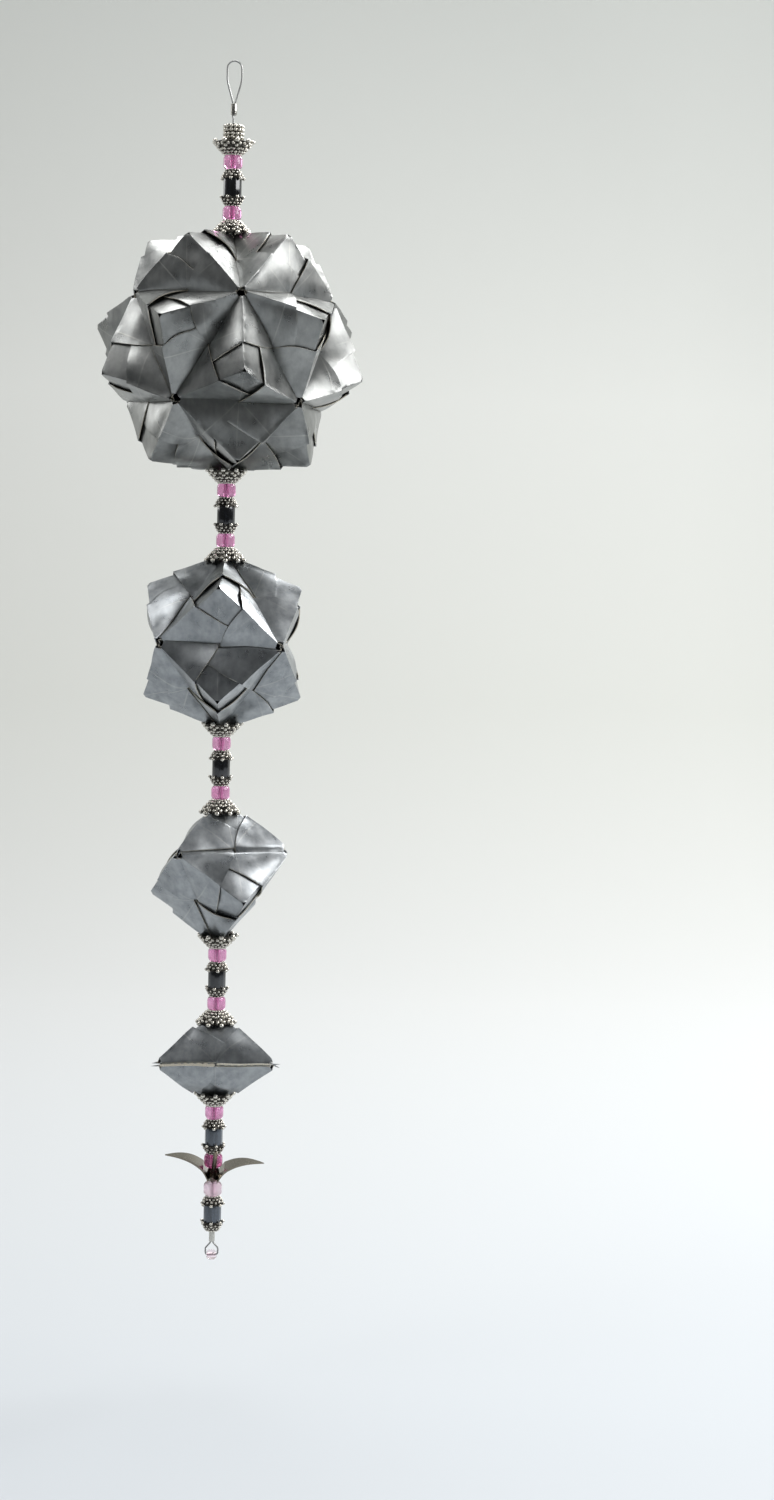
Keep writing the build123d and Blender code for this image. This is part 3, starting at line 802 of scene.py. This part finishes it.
@dataclass
class PaperBall:
    """A ball of folded units about one middle, in metres and degrees."""

    name: str
    node: str
    solid: Solid
    seed: int
    film: str = "silver_paper_cool"
    sheet_side: float = 50.8 * MM
    longest: float = 1.1 * MM
    cuts: int = 6
    waviness: float = 0.42 * MM
    wave: float = 8.0 * MM
    calm: Range = (4.6 * MM, 8.5 * MM)
    fold_width: float = 0.07 * MM
    fold_angle: float = 38.0
    smooth: float = 42.0

    def seats(self) -> list[Matrix]:
        """Places of the units about the middle of the ball.

        Returns:
            One for each edge of the solid, in the order of the nodes.
        """
        edge = self.sheet_side / 2
        corners = corners_of(self.solid, edge)
        seats = []
        for number, first in enumerate(corners):
            for second in corners[number + 1:]:
                if abs((first - second).length - edge) < edge / 1000:
                    middle = (first + second) / 2
                    x_axis = (second - first).normalized()
                    z_axis = middle.normalized()
                    seat = Matrix((x_axis, z_axis.cross(x_axis), z_axis)).transposed().to_4x4()
                    seat.translation = middle
                    seats.append(seat)
        return seats

    def valley_angle(self) -> float:
        """Angle outside the ball between the two faces that meet at a unit's middle fold.

        Returns:
            The angle in radians.
        """
        if self.solid is Solid.TRIANGLE:
            return 2 * math.acos(-math.sqrt(1 / 3))
        edge = self.sheet_side / 2
        corners = corners_of(self.solid, edge)
        first = corners[0]
        near = [c for c in corners if abs((c - first).length - edge) < edge / 1000]
        second = near[0]
        third = next(c for c in near[1:] if abs((c - second).length - edge) < edge / 1000)
        centre = (first + second + third) / 3
        apex = centre + centre.normalized() * (edge / math.sqrt(6))
        middle = (first + second) / 2
        return 2 * math.acos((apex - middle).normalized().dot(middle.normalized()))

    def nodes(self) -> list[str]:
        """CAD nodes of the ball, in order."""
        return [self.node.format(number + 1) for number in range(len(self.seats()))]

    def place(self) -> Matrix:
        """Where the frame has the ball.

        Returns:
            Its middle and its turn round the wire.
        """
        averages = []
        for node in self.nodes():
            unique = np.unique(np.round(points_of(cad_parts[node]), DECIMALS), axis=0)
            averages.append(Vector(unique.mean(axis=0)))
        centre = sum(averages, Vector()) / len(averages)
        axis = self.seats()[0].translation
        spin = math.atan2(averages[0].y, averages[0].x) - math.atan2(axis.y, axis.x)
        return Matrix.Translation((0, 0, centre.z)) @ Matrix.Rotation(spin, 4, "Z")

    def fine_sheet(self, place: Matrix) -> Piece:
        """The first unit's mesh, merged and divided finely.

        Args:
            place: Where the ball is.

        Returns:
            A working piece in the space of the unit.
        """
        to_unit = (place @ self.seats()[0]).inverted()
        sheet = copied(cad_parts[self.nodes()[0]], to_unit, self.name + "_sheet")
        sheet.data.materials.clear()
        with editing(sheet, "EDGE"):
            bpy.ops.mesh.select_all(action="SELECT")
            bpy.ops.mesh.remove_doubles(threshold=SAME_POINT)
            bpy.ops.mesh.dissolve_limited(angle_limit=math.radians(1.0))
            bpy.ops.mesh.quads_convert_to_tris(quad_method="BEAUTY", ngon_method="BEAUTY")
            for _ in range(self.cuts):
                pick(sheet, lambda edge: edge.calc_length() > self.longest, edges=True)
                bpy.ops.mesh.subdivide(number_cuts=1)
                bpy.ops.mesh.select_all(action="SELECT")
                bpy.ops.mesh.quads_convert_to_tris(quad_method="BEAUTY", ngon_method="BEAUTY")
        return sheet

    def mark_faces(self, sheet: Piece, unit: PaperUnit) -> None:
        """Gives the sheet its fold coordinates, and its cut edges the second slot.

        Args:
            sheet: The fine sheet.
            unit: The unit whose faces it lies on.
        """
        over = 0.8 * MM  # how far a ply may reach over a fold
        middle_ply = 0.2 * MM
        inset, lowest = 0.4 * MM, 0.05 * MM  # a cut edge lies off the folds and above the lowest ply
        upright = 0.4  # a cut edge's normal rises less than this out of the face
        mesh = sheet.data
        centres = np.array([face.center[:] for face in mesh.polygons])
        points = points_of(sheet)
        best = np.full(len(centres), math.inf)
        chosen = np.zeros(len(centres), int)
        options = [face for pair in unit.faces() for face in pair]
        for number, face in enumerate(options):
            local = face.local(centres)
            inside = (local[:, :2] > -over).all(axis=1) & (local[:, 0] + local[:, 1] < face.leg + over)
            height = np.abs(local[:, 2] - middle_ply)
            away = np.where(inside, height, height + 1.0)
            chosen = np.where(away < best, number, chosen)
            best = np.minimum(best, away)
        layer = mesh.uv_layers.new(name="folds")
        located = [face.local(points)[:, :2] / face.leg for face in options]
        for face in mesh.polygons:
            option = options[chosen[face.index]]
            for loop in face.loop_indices:
                layer.data[loop].uv = located[chosen[face.index]][mesh.loops[loop].vertex_index]
            up = float(np.array(option.to_face.to_3x3())[2] @ np.array(face.normal))
            local = option.local(centres[face.index][None])[0]
            open_edge = local[0] > inset and local[1] > inset and local[2] > lowest
            face.material_index = int(abs(up) < upright and open_edge)

    def waved(self, points: np.ndarray) -> np.ndarray:
        """Points moved by one smooth field that all the sheets of the ball share, still beside the wire.

        Args:
            points: Points in the frame.

        Returns:
            The moved points.
        """
        shifts = np.array([noise.noise_vector(Vector(point) / self.wave + Vector((self.seed, 0, 0)))[:]
                           for point in points])
        reach = np.hypot(points[:, 0], points[:, 1])
        share = np.clip((reach - self.calm[0]) / (self.calm[1] - self.calm[0]), 0, 1)
        share = share * share * (3 - 2 * share)
        return points + shifts * (self.waviness * share)[:, None]

    def build(self, made: dict[str, Material]) -> list[Piece]:
        """Makes every folded unit of the ball.

        Args:
            made: The finishes by name.

        Returns:
            The finished units.
        """
        place = self.place()
        unit = PaperUnit(self.sheet_side / 2, self.valley_angle())
        sheet = self.fine_sheet(place)
        self.mark_faces(sheet, unit)
        dice = random.Random(self.seed)
        flat = points_of(sheet)
        pieces = []
        for node, seat in zip(self.nodes(), self.seats()):
            piece = copied(sheet, Matrix.Identity(4), node.replace("unit", "sheet"))
            whole = place @ seat
            turn = np.array(whole.to_3x3())
            points = self.waved(unit.curled(flat, dice) @ turn.T + np.array(whole.translation))
            piece.data.vertices.foreach_set("co", points.ravel())
            dressed(piece, made[self.film], made["paper_core"], made["worn_fold"])
            piece.data.update()
            finish_with(piece, "BEVEL", width=self.fold_width, segments=2, limit_method="ANGLE",
                        angle_limit=math.radians(self.fold_angle), use_clamp_overlap=True, material=2)
            smoothed(piece, self.smooth)
            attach(piece, BODY)
            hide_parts(node)
            pieces.append(piece)
        dropped(sheet)
        return pieces


def paper_balls() -> list[PaperBall]:
    """The four balls, from the top down."""
    return [
        PaperBall("large_ball", "large_ball_unit_{:02d}", Solid.ICOSAHEDRON, 3, "silver_paper_warm"),
        PaperBall("small_ball", "small_ball_unit_{:02d}", Solid.OCTAHEDRON, 5),
        PaperBall("cube", "cube_unit_{}", Solid.TETRAHEDRON, 7),
        PaperBall("jewel", "jewel_unit_{}", Solid.TRIANGLE, 11),
    ]


# Threaded beads


def bored_cylinder(name: str, radius: float, bore: float, length: float, sides: int) -> Piece:
    """Cylinder about the origin with a round bore, as a closed mesh.

    Args:
        name: Name of the piece.
        radius: Its outer radius.
        bore: Radius of the bore.
        length: Its length along the wire.
        sides: Points round it.

    Returns:
        The piece.
    """
    bpy.ops.object.select_all(action="DESELECT")
    bpy.ops.mesh.primitive_cylinder_add(vertices=sides, radius=radius, depth=length, end_fill_type="NGON")
    piece = bpy.context.active_object
    piece.name = name
    with editing(piece):
        pick_ends(piece)
        bpy.ops.mesh.inset(thickness=radius - bore)
        bpy.ops.mesh.bridge_edge_loops()
        bpy.ops.mesh.select_all(action="SELECT")
        bpy.ops.mesh.normals_make_consistent(inside=False)
    return piece


def round_rims(piece: Piece, span: Span, offset: float, segments: int) -> None:
    """Bevels the two outer rims of a bored cylinder.

    Args:
        piece: The cylinder.
        span: The solid that it was made to.
        offset: Width of the bevel.
        segments: Steps of the bevel.
    """
    near = span.radius / 50
    with editing(piece, "EDGE"):
        pick(piece, lambda edge: abs(edge.verts[0].co.z - edge.verts[1].co.z) < span.length / 50
             and all(abs(vertex.co.xy.length - span.radius) < near for vertex in edge.verts), edges=True)
        bpy.ops.mesh.bevel(offset=offset, segments=segments, profile=0.5, affect="EDGES")


@dataclass
class BeadRow:
    """Like beads threaded along the wire, all copies of one, and the finishes of each from the top down."""

    name: str
    node: str
    slot: str
    looks: list[tuple[str, ...]]

    def model(self, span: Span) -> Piece:
        """One bead about the origin.

        Args:
            span: The solid whose size it has.

        Returns:
            The bead.
        """
        raise NotImplementedError

    def turn(self, span: Span, dice: random.Random) -> Matrix:
        """How one bead is turned round the wire."""
        return Matrix.Rotation(dice.uniform(0, math.tau), 4, "Z")

    def build(self, made: dict[str, Material]) -> list[Piece]:
        """Puts a copy of the bead in each place; the last of its finishes serves the rest.

        Args:
            made: The finishes by name.

        Returns:
            The beads.
        """
        spans = solids_on_wire(self.node)
        master = self.model(spans[0])
        dice = random.Random(self.name)
        pieces = []
        for number, span in enumerate(spans):
            place = Matrix.Translation((0, 0, span.middle)) @ self.turn(span, dice)
            piece = copied(master, place, f"{self.name}_{number + 1}")
            look = self.looks[min(number, len(self.looks) - 1)]
            dressed(piece, *(made[name] for name in look))
            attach(piece, BODY)
            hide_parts(self.node)
            pieces.append(piece)
        dropped(master)
        return pieces


@dataclass
class SeedBeads(BeadRow):
    """Rounded glass beads with a small bore."""

    bore: float = 0.45 * MM
    rounding: float = 0.31
    sides: int = 64
    steps: int = 8

    def model(self, span: Span) -> Piece:
        """One bead about the origin.

        Args:
            span: The solid whose size it has.

        Returns:
            The bead.
        """
        bead = bored_cylinder(self.name, span.radius, self.bore, span.length, self.sides)
        round_rims(bead, span, span.length * self.rounding, self.steps)
        smoothed(bead, 60)
        return bead


@dataclass
class TubeBeads(BeadRow):
    """Stone tubes with ground ends, whose long sides are ground in narrow flats."""

    bore: float = 0.5 * MM
    rim_bevel: float = 0.22 * MM
    side_bevel: float = 0.12 * MM
    flats: int = 12

    def model(self, span: Span) -> Piece:
        """One tube about the origin.

        Args:
            span: The solid whose size it has.

        Returns:
            The tube.
        """
        bead = bored_cylinder(self.name, span.radius, self.bore, span.length, self.flats)
        round_rims(bead, span, self.rim_bevel, 3)
        finish_with(bead, "BEVEL", width=self.side_bevel, segments=2, limit_method="ANGLE",
                    angle_limit=math.radians(20))
        smoothed(bead, 20)
        return bead


def grain_model(name: str) -> Piece:
    """One cast grain, with few faces because it is repeated hundreds of times.

    Args:
        name: Its name.

    Returns:
        A grain of radius 1.
    """
    bpy.ops.object.select_all(action="DESELECT")
    bpy.ops.mesh.primitive_uv_sphere_add(segments=8, ring_count=6, radius=1.0)
    grain = bpy.context.active_object
    grain.name = name
    with editing(grain):
        pick_ends(grain)
        bpy.ops.transform.resize(value=(1.0, 1.0, 0.94), center_override=(0, 0, 0))
    return grain


def grain_at(master: Piece, radius: float, place: Vector) -> Piece:
    """Copy of the grain, a little flatter, with its own radius and place."""
    size = Matrix.Diagonal((radius, radius, radius * 0.92, 1))
    return copied(master, Matrix.Translation(place) @ size, "grain")


def grained(shell: Piece, grains: list[Piece]) -> Piece:
    """A shell joined with its grains, whose faces take the second slot.

    Args:
        shell: The shell.
        grains: The grains on it.

    Returns:
        The casting.
    """
    plain_faces = len(shell.data.polygons)
    choose(shell)
    for grain in grains:
        grain.select_set(True)
    bpy.ops.object.join()
    for face in shell.data.polygons:
        face.material_index = int(face.index >= plain_faces)
    smoothed(shell, 60)
    return shell


@dataclass
class Rondelles(BeadRow):
    """Spacer beads with two rows of grains round a drum."""

    grains: int = 13
    grain_radius: float = 0.47 * MM
    bore: float = 0.55 * MM
    drum_share: float = 0.96
    sides: int = 28
    inset: float = 0.9

    def model(self, span: Span) -> Piece:
        """One rondelle about the origin.

        Args:
            span: The solid whose size it has.

        Returns:
            The rondelle.
        """
        orbit = span.radius - self.grain_radius
        drum = bored_cylinder(self.name, orbit, self.bore, span.length * self.drum_share, self.sides)
        grain = grain_model("rondelle_grain")
        height = span.length / 2 - self.grain_radius * self.inset
        points = ring_of(self.grains, orbit, -height) + ring_of(self.grains, orbit, height)
        grains = [grain_at(grain, self.grain_radius, point) for point in points]
        dropped(grain)
        return grained(drum, grains)


@dataclass(frozen=True)
class GrainSpot:
    """Where a grain sits on each petal.

    It is down from the crown at 0 to the rim at 1, aside from the petal's middle at 0 to its side at 1, and
    its radius is in millimetres.
    """

    down: float
    aside: float
    radius: float


@dataclass
class BeadCaps(BeadRow):
    """Cast cups of petals: a blackened shell with rubbed grains standing on it."""

    petals: int = 9
    spots: tuple[GrainSpot, ...] = (
        GrainSpot(0.04, 0.0, 0.39), GrainSpot(0.06, 1.0, 0.36), GrainSpot(0.28, 0.0, 0.39),
        GrainSpot(0.30, 1.0, 0.32), GrainSpot(0.52, -0.48, 0.36), GrainSpot(0.52, 0.48, 0.36),
        GrainSpot(0.56, 1.0, 0.27), GrainSpot(0.74, 0.0, 0.43), GrainSpot(0.86, -0.55, 0.39),
        GrainSpot(0.86, 0.55, 0.39), GrainSpot(1.04, 0.0, 0.55))
    tip: float = 0.46 * MM
    tip_inset: float = 0.9
    stand: float = 0.3
    wall: float = 0.22 * MM
    bore: float = 0.5 * MM
    crown: float = 1.5 * MM
    dome: float = 0.45
    rings: int = 8
    rim_share: float = 0.97
    scallop: float = 0.16
    droop: float = 0.20 * MM

    def profile(self, span: Span, share: float) -> Vector:
        """Point of the dome's outer line.

        Args:
            span: The cap's solid.
            share: Where on the line, from the crown at 0 to the rim at 1.

        Returns:
            The point, to the right of the wire.
        """
        reach = self.crown + (span.radius - self.tip * self.tip_inset - self.crown) * share
        drop = span.length * (share * (1 - self.dome) + self.dome * share * share)
        return Vector((reach, 0, span.length / 2 - drop))

    def shell(self, span: Span) -> Piece:
        """The dome with a scalloped rim, open below, with its wall.

        Args:
            span: The cap's solid.

        Returns:
            The shell.
        """
        bpy.ops.object.select_all(action="DESELECT")
        bpy.ops.mesh.primitive_circle_add(vertices=self.petals * 6, radius=self.bore, fill_type="NOTHING",
                                          location=(0, 0, span.length / 2))
        cap = bpy.context.active_object
        set_in_mesh(cap)
        reached, height = self.bore, span.length / 2
        with editing(cap, "EDGE"):
            bpy.ops.mesh.select_all(action="SELECT")
            for step in range(self.rings):
                target = self.profile(span, step / (self.rings - 1) * self.rim_share)
                drop = (0, 0, target.z - height)
                bpy.ops.mesh.extrude_region_move(TRANSFORM_OT_translate={"value": drop})
                bpy.ops.transform.resize(value=(target.x / reached, target.x / reached, 1),
                                         center_override=(0, 0, target.z))
                reached, height = target.x, target.z
        for vertex in cap.data.vertices:
            share = max(0.0, (vertex.co.xy.length - self.crown) / (span.radius - self.crown))
            wave = math.cos(math.atan2(vertex.co.x, -vertex.co.y) * self.petals)
            pull = 1 - self.scallop * share * (1 - wave) / 2
            vertex.co.x *= pull
            vertex.co.y *= pull
            vertex.co.z += self.droop * share * (wave - 1) / 2
        finish_with(cap, "SOLIDIFY", thickness=self.wall, offset=-1)
        return cap

    def model(self, span: Span) -> Piece:
        """One cap about the origin, with its open side down.

        Args:
            span: The solid whose size it has.

        Returns:
            The cap.
        """
        grain = grain_model("cap_grain")
        grains = []
        for petal in range(self.petals):
            for spot in self.spots:
                radius = spot.radius * MM
                turn = math.tau * (petal + spot.aside / 2) / self.petals
                line = self.profile(span, spot.down)
                front = Vector((0, -line.x, line.z + radius * self.stand))
                grains.append(grain_at(grain, radius, Matrix.Rotation(turn, 4, "Z") @ front))
        dropped(grain)
        return grained(self.shell(span), grains)

    def turn(self, span: Span, dice: random.Random) -> Matrix:
        """Turned round the wire, and over where its open side is up."""
        flip = Matrix.Rotation(math.pi, 4, "X") if span.wide_top else Matrix.Identity(4)
        return flip @ super().turn(span, dice)


def bead_rows() -> list[BeadRow]:
    """Every row of like beads.

    Returns:
        The rows, with the finishes of each bead from the top down.
    """
    pinks = [("pink_glass",)] * 9 + [("deep_pink_glass",), ("pale_pink_glass",)]
    stones = [("haematite_black",)] * 4 + [("haematite_slate",)]
    silver = [("blackened_silver", "rubbed_silver")]
    small_spots = (GrainSpot(0.06, 0.0, 0.31), GrainSpot(0.10, 1.0, 0.30), GrainSpot(0.46, 0.5, 0.28),
                   GrainSpot(0.46, -0.5, 0.28), GrainSpot(0.72, 0.0, 0.32), GrainSpot(0.78, 1.0, 0.25),
                   GrainSpot(1.04, 0.0, 0.39))
    return [
        SeedBeads("pink_bead", "pink_beads", "pink_glass", pinks),
        TubeBeads("haematite_tube", "hematite_tubes", "hematite", stones),
        Rondelles("rondelle", "top_rondelles", "antique_silver", silver),
        BeadCaps("large_bead_cap", "large_bead_caps", "antique_silver", silver),
        BeadCaps("small_bead_cap", "small_bead_caps", "antique_silver", silver, petals=7, spots=small_spots,
                 tip=0.30 * MM, wall=0.18 * MM, crown=1.25 * MM),
    ]


# Single pieces


@dataclass
class RefinedNode:
    """A CAD node's own mesh, merged, rounded and dressed."""

    name: str
    node: str
    slot: str
    finish: str
    bevel: float = 0.0
    smooth: float = 40.0
    levels: int = 0
    swell: float = 0.0

    def refine(self, piece: Piece) -> None:
        """Changes the merged mesh in edit mode, before it is rounded; a plain node keeps its shape.

        Args:
            piece: The piece.
        """

    def build(self, made: dict[str, Material]) -> None:
        """Makes the piece.

        Args:
            made: The finishes by name.
        """
        piece = linked(self.name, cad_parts[self.node].data.copy())
        with editing(piece, "VERT"):
            bpy.ops.mesh.select_all(action="SELECT")
            bpy.ops.mesh.remove_doubles(threshold=SAME_POINT)
            bpy.ops.mesh.tris_convert_to_quads(face_threshold=math.radians(1.0), shape_threshold=math.pi)
            if self.swell:
                bpy.ops.mesh.select_all(action="SELECT")
                bpy.ops.transform.shrink_fatten(value=self.swell)
            self.refine(piece)
        if self.bevel:
            finish_with(piece, "BEVEL", width=self.bevel, segments=3, limit_method="ANGLE",
                        angle_limit=math.radians(25), use_clamp_overlap=True)
        if self.levels:
            finish_with(piece, "SUBSURF", levels=self.levels, render_levels=self.levels)
        smoothed(piece, self.smooth)
        dressed(piece, made[self.finish])
        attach(piece, BODY)
        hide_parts(self.node)


@dataclass
class WingedCharm(RefinedNode):
    """The crane, with its wings drawn out to thin tips."""

    tip_share: float = 0.35
    end_share: float = 0.96

    def refine(self, piece: Piece) -> None:
        """Narrows the end of each wing."""
        for side in (-1, 1):
            start = self.end_share * max(vertex.co.x * side for vertex in piece.data.vertices)
            pick(piece, lambda face: all(vertex.co.x * side > start for vertex in face.verts))
            mesh = bmesh.from_edit_mesh(piece.data)
            ends = [vertex.co.copy() for vertex in mesh.verts if vertex.select]
            if ends:
                bpy.ops.transform.resize(value=(1.0, self.tip_share, self.tip_share),
                                         center_override=sum(ends, Vector()) / len(ends))


def single_pieces() -> list[RefinedNode]:
    """The crane, the wire, the crimps and the last bead."""
    return [
        WingedCharm("crane", "crane_charm", "bright_pewter", "crane_pewter", bevel=0.10 * MM, levels=2,
                    smooth=50),
        RefinedNode("wire", "beading_wire", "wire", "coated_cable", levels=1, swell=0.02 * MM, smooth=60),
        RefinedNode("crimps", "crimp_tubes", "crimp", "crimp_plate", bevel=0.08 * MM),
        RefinedNode("clear_bead", "end_bead", "clear_glass", "clear_glass", levels=3, smooth=60),
    ]


# Room for the strand


@dataclass(frozen=True)
class Lamp:
    """One soft square lamp: its place, the side of its square in metres and its power in watts."""

    name: str
    place: Triple
    side: float
    power: float

    def add(self, aim: Vector) -> None:
        """Puts the lamp in the room.

        Args:
            aim: What it points at.
        """
        lamp = bpy.data.lights.new(self.name, "AREA")
        lamp.shape = "SQUARE"
        lamp.size = self.side
        lamp.energy = self.power
        holder = linked(self.name, lamp)
        holder.location = self.place
        holder.rotation_euler = (aim - Vector(self.place)).to_track_quat("-Z", "Y").to_euler()


@dataclass(frozen=True)
class Studio:
    """Pale sweep, soft lights and the photograph's camera, in metres and degrees."""

    floor_height: float = -283.3 * MM
    front: float = -0.9
    back: float = 0.45
    bend: float = 0.35
    wall: float = 1.3
    half_width: float = 1.6
    bend_steps: int = 24
    backdrop_share: float = 0.75
    # Painted shade of the sweep: it greys up the wall between the path ends, and the side shades darken it
    # toward the left between the side ends.
    path_ends: Range = (-0.1, 1.4)
    side_ends: Range = (-0.22, 0.24)
    painted_side_shade: Range = (0.84, 1.16)
    focal_pixels: float = 2590.0
    image_height: int = 1500
    camera_place: Triple = (-1.93 * MM, -555.5 * MM, -97.9 * MM)
    yaw: float = 3.87
    pitch: float = -4.82
    roll: float = 1.44
    ambient: float = 0.75
    pale_side: Triple = (0.0, 0.543, 0.840)
    aim: Triple = (0.0, 0.0, -0.13)
    lamps: tuple[Lamp, ...] = (
        Lamp("window", (0.42, 0.30, 0.26), 0.26, 3.6),
        Lamp("near_window", (0.55, -0.16, 0.16), 0.30, 1.8),
        Lamp("ceiling", (0.04, 0.20, 0.40), 0.36, 2.4),
        Lamp("lamp", (-0.35, -0.15, 0.36), 0.24, 0.9),
        Lamp("far_lamp", (-0.50, 0.30, 0.06), 0.20, 0.4))

    def sweep(self) -> Piece:
        """Floor that curves up into the backdrop.

        Returns:
            The sweep.
        """
        bpy.ops.object.select_all(action="DESELECT")
        middle = (self.front + self.back) / 2
        bpy.ops.mesh.primitive_plane_add(size=1, location=(0, middle, self.floor_height))
        floor = bpy.context.active_object
        floor.name = "sweep"
        floor.scale = (2 * self.half_width, self.back - self.front, 1)
        set_in_mesh(floor)
        turns = [math.pi / 2 * step / self.bend_steps for step in range(self.bend_steps + 1)]
        moves = [(0, self.bend * (math.sin(after) - math.sin(before)),
                  self.bend * (math.cos(before) - math.cos(after)))
                 for before, after in zip(turns, turns[1:])]
        with editing(floor, "EDGE"):
            pick(floor, lambda edge: all(vertex.co.y > 0 for vertex in edge.verts), edges=True)
            for move in [*moves, (0, 0, self.wall)]:
                bpy.ops.mesh.extrude_region_move(TRANSFORM_OT_translate={"value": move})
            bpy.ops.mesh.select_all(action="SELECT")
            bpy.ops.mesh.normals_make_consistent(inside=False)
        smoothed(floor, 60)
        return floor

    def paint_with_painted_shade(self) -> Material:
        """Pale matt paint with painted shade: near white on the floor, with shade painted greyer up the
        wall and toward the left, and the real shadow in its matt share.

        Returns:
            The paint.
        """
        recipe = Recipe(bpy.data.materials.new("sweep_paint_with_painted_shade"))
        parts = recipe.node("SeparateXYZ", {"Vector": recipe.node("TexCoord").outputs["Object"]})
        height = recipe.math("SUBTRACT", parts.outputs["Z"], self.floor_height)
        path = recipe.math("ADD", parts.outputs["Y"], height)
        # Painted shade: the wall ramp greys the sweep up the wall and the side scale darkens it toward the
        # left, standing in for the fall of the light.
        wall = recipe.ramp(recipe.spread(path, 0.0, 1.0, self.path_ends),
                           [(0.04, "#dbe0e4"), (0.37, "#e6e8e7"), (0.60, "#dddfda"), (0.76, "#e3e5e1"),
                            (0.90, "#d3d6d2"), (1.0, "#c4c8c3")])
        side = recipe.spread(parts.outputs["X"], *self.painted_side_shade, self.side_ends)
        colour = recipe.node("VectorMath", {0: wall, "Scale": side}, operation="SCALE").outputs[0]
        matt = recipe.node("BsdfPrincipled", {"Base Color": colour, "Roughness": 0.9,
                                              "Specular IOR Level": 0.2}).outputs[0]
        # The sweep glows with this colour, its painted shade included, to the camera and in glossy and
        # transmission rays.
        plain = recipe.node("Emission", {"Color": colour, "Strength": 1.0}).outputs[0]
        rays = recipe.node("LightPath").outputs
        seen = recipe.math("MAXIMUM", rays["Is Camera Ray"],
                           recipe.math("MAXIMUM", rays["Is Glossy Ray"], rays["Is Transmission Ray"]))
        share = recipe.math("MULTIPLY", seen, self.backdrop_share)
        recipe.end(recipe.node("MixShader", {0: share, 1: matt, 2: plain}))
        return recipe.owner

    def world(self) -> None:
        """Plain room: dark toward the viewer, pale overhead and behind, and plain pale to the camera."""
        world = bpy.data.worlds.new("room")
        bpy.context.scene.world = world
        recipe = Recipe(world, "OutputWorld")
        way = recipe.node("TexCoord").outputs["Generated"]
        upward = recipe.node("VectorMath", {0: way, 1: self.pale_side}, operation="DOT_PRODUCT")
        room = recipe.ramp(recipe.spread(upward.outputs["Value"], 0.0, 1.0, (-1.01, 1.01)),
                           [(0.0, "#424445"), (0.45, "#68696a"), (1.0, "#c6c8c9")])
        rays = recipe.node("LightPath").outputs
        lit = recipe.node("Background", {"Color": room, "Strength": self.ambient}).outputs[0]
        plain = recipe.node("Background", {"Color": linear("#d6d9d6"), "Strength": 1.0}).outputs[0]
        seen = recipe.math("MAXIMUM", rays["Is Camera Ray"], rays["Is Transmission Ray"])
        recipe.end(recipe.node("MixShader", {0: seen, 1: lit, 2: plain}))

    def camera(self) -> None:
        """The photograph's camera."""
        data = bpy.data.cameras.new("camera")
        data.sensor_fit = "VERTICAL"
        data.sensor_height = 36.0
        data.lens = self.focal_pixels / self.image_height * data.sensor_height
        data.clip_start = 0.01
        data.clip_end = 10
        yaw, pitch = math.radians(self.yaw), math.radians(self.pitch)
        level = math.cos(pitch)
        forward = Vector((math.sin(yaw) * level, math.cos(yaw) * level, math.sin(pitch)))
        turn = forward.to_track_quat("-Z", "Y").to_matrix().to_4x4()
        camera = linked("camera", data)
        camera.matrix_world = Matrix.Translation(self.camera_place) @ turn @ Matrix.Rotation(
            math.radians(self.roll), 4, "Z")
        bpy.context.scene.camera = camera

    def build(self) -> None:
        """Sets the whole room."""
        floor = self.sweep()
        dressed(floor, self.paint_with_painted_shade())
        for lamp in self.lamps:
            lamp.add(Vector(self.aim))
        self.world()
        self.camera()
        bpy.context.scene.view_settings.view_transform = "Standard"


# The whole strand


def main() -> None:
    """Builds and dresses every piece in order."""
    logging.basicConfig(level=logging.INFO, format="%(name)s: %(message)s")
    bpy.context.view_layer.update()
    noise.seed_set(NOISE_SEED)
    made = finishes()
    for row in bead_rows():
        LOG.info("%s: %d pieces", row.name, len(row.build(made)))
    for single in single_pieces():
        single.build(made)
        LOG.info("%s: one piece", single.name)
    for ball in paper_balls():
        LOG.info("%s: %d folded sheets", ball.name, len(ball.build(made)))
    Studio().build()


if __name__ == "__main__":
    main()
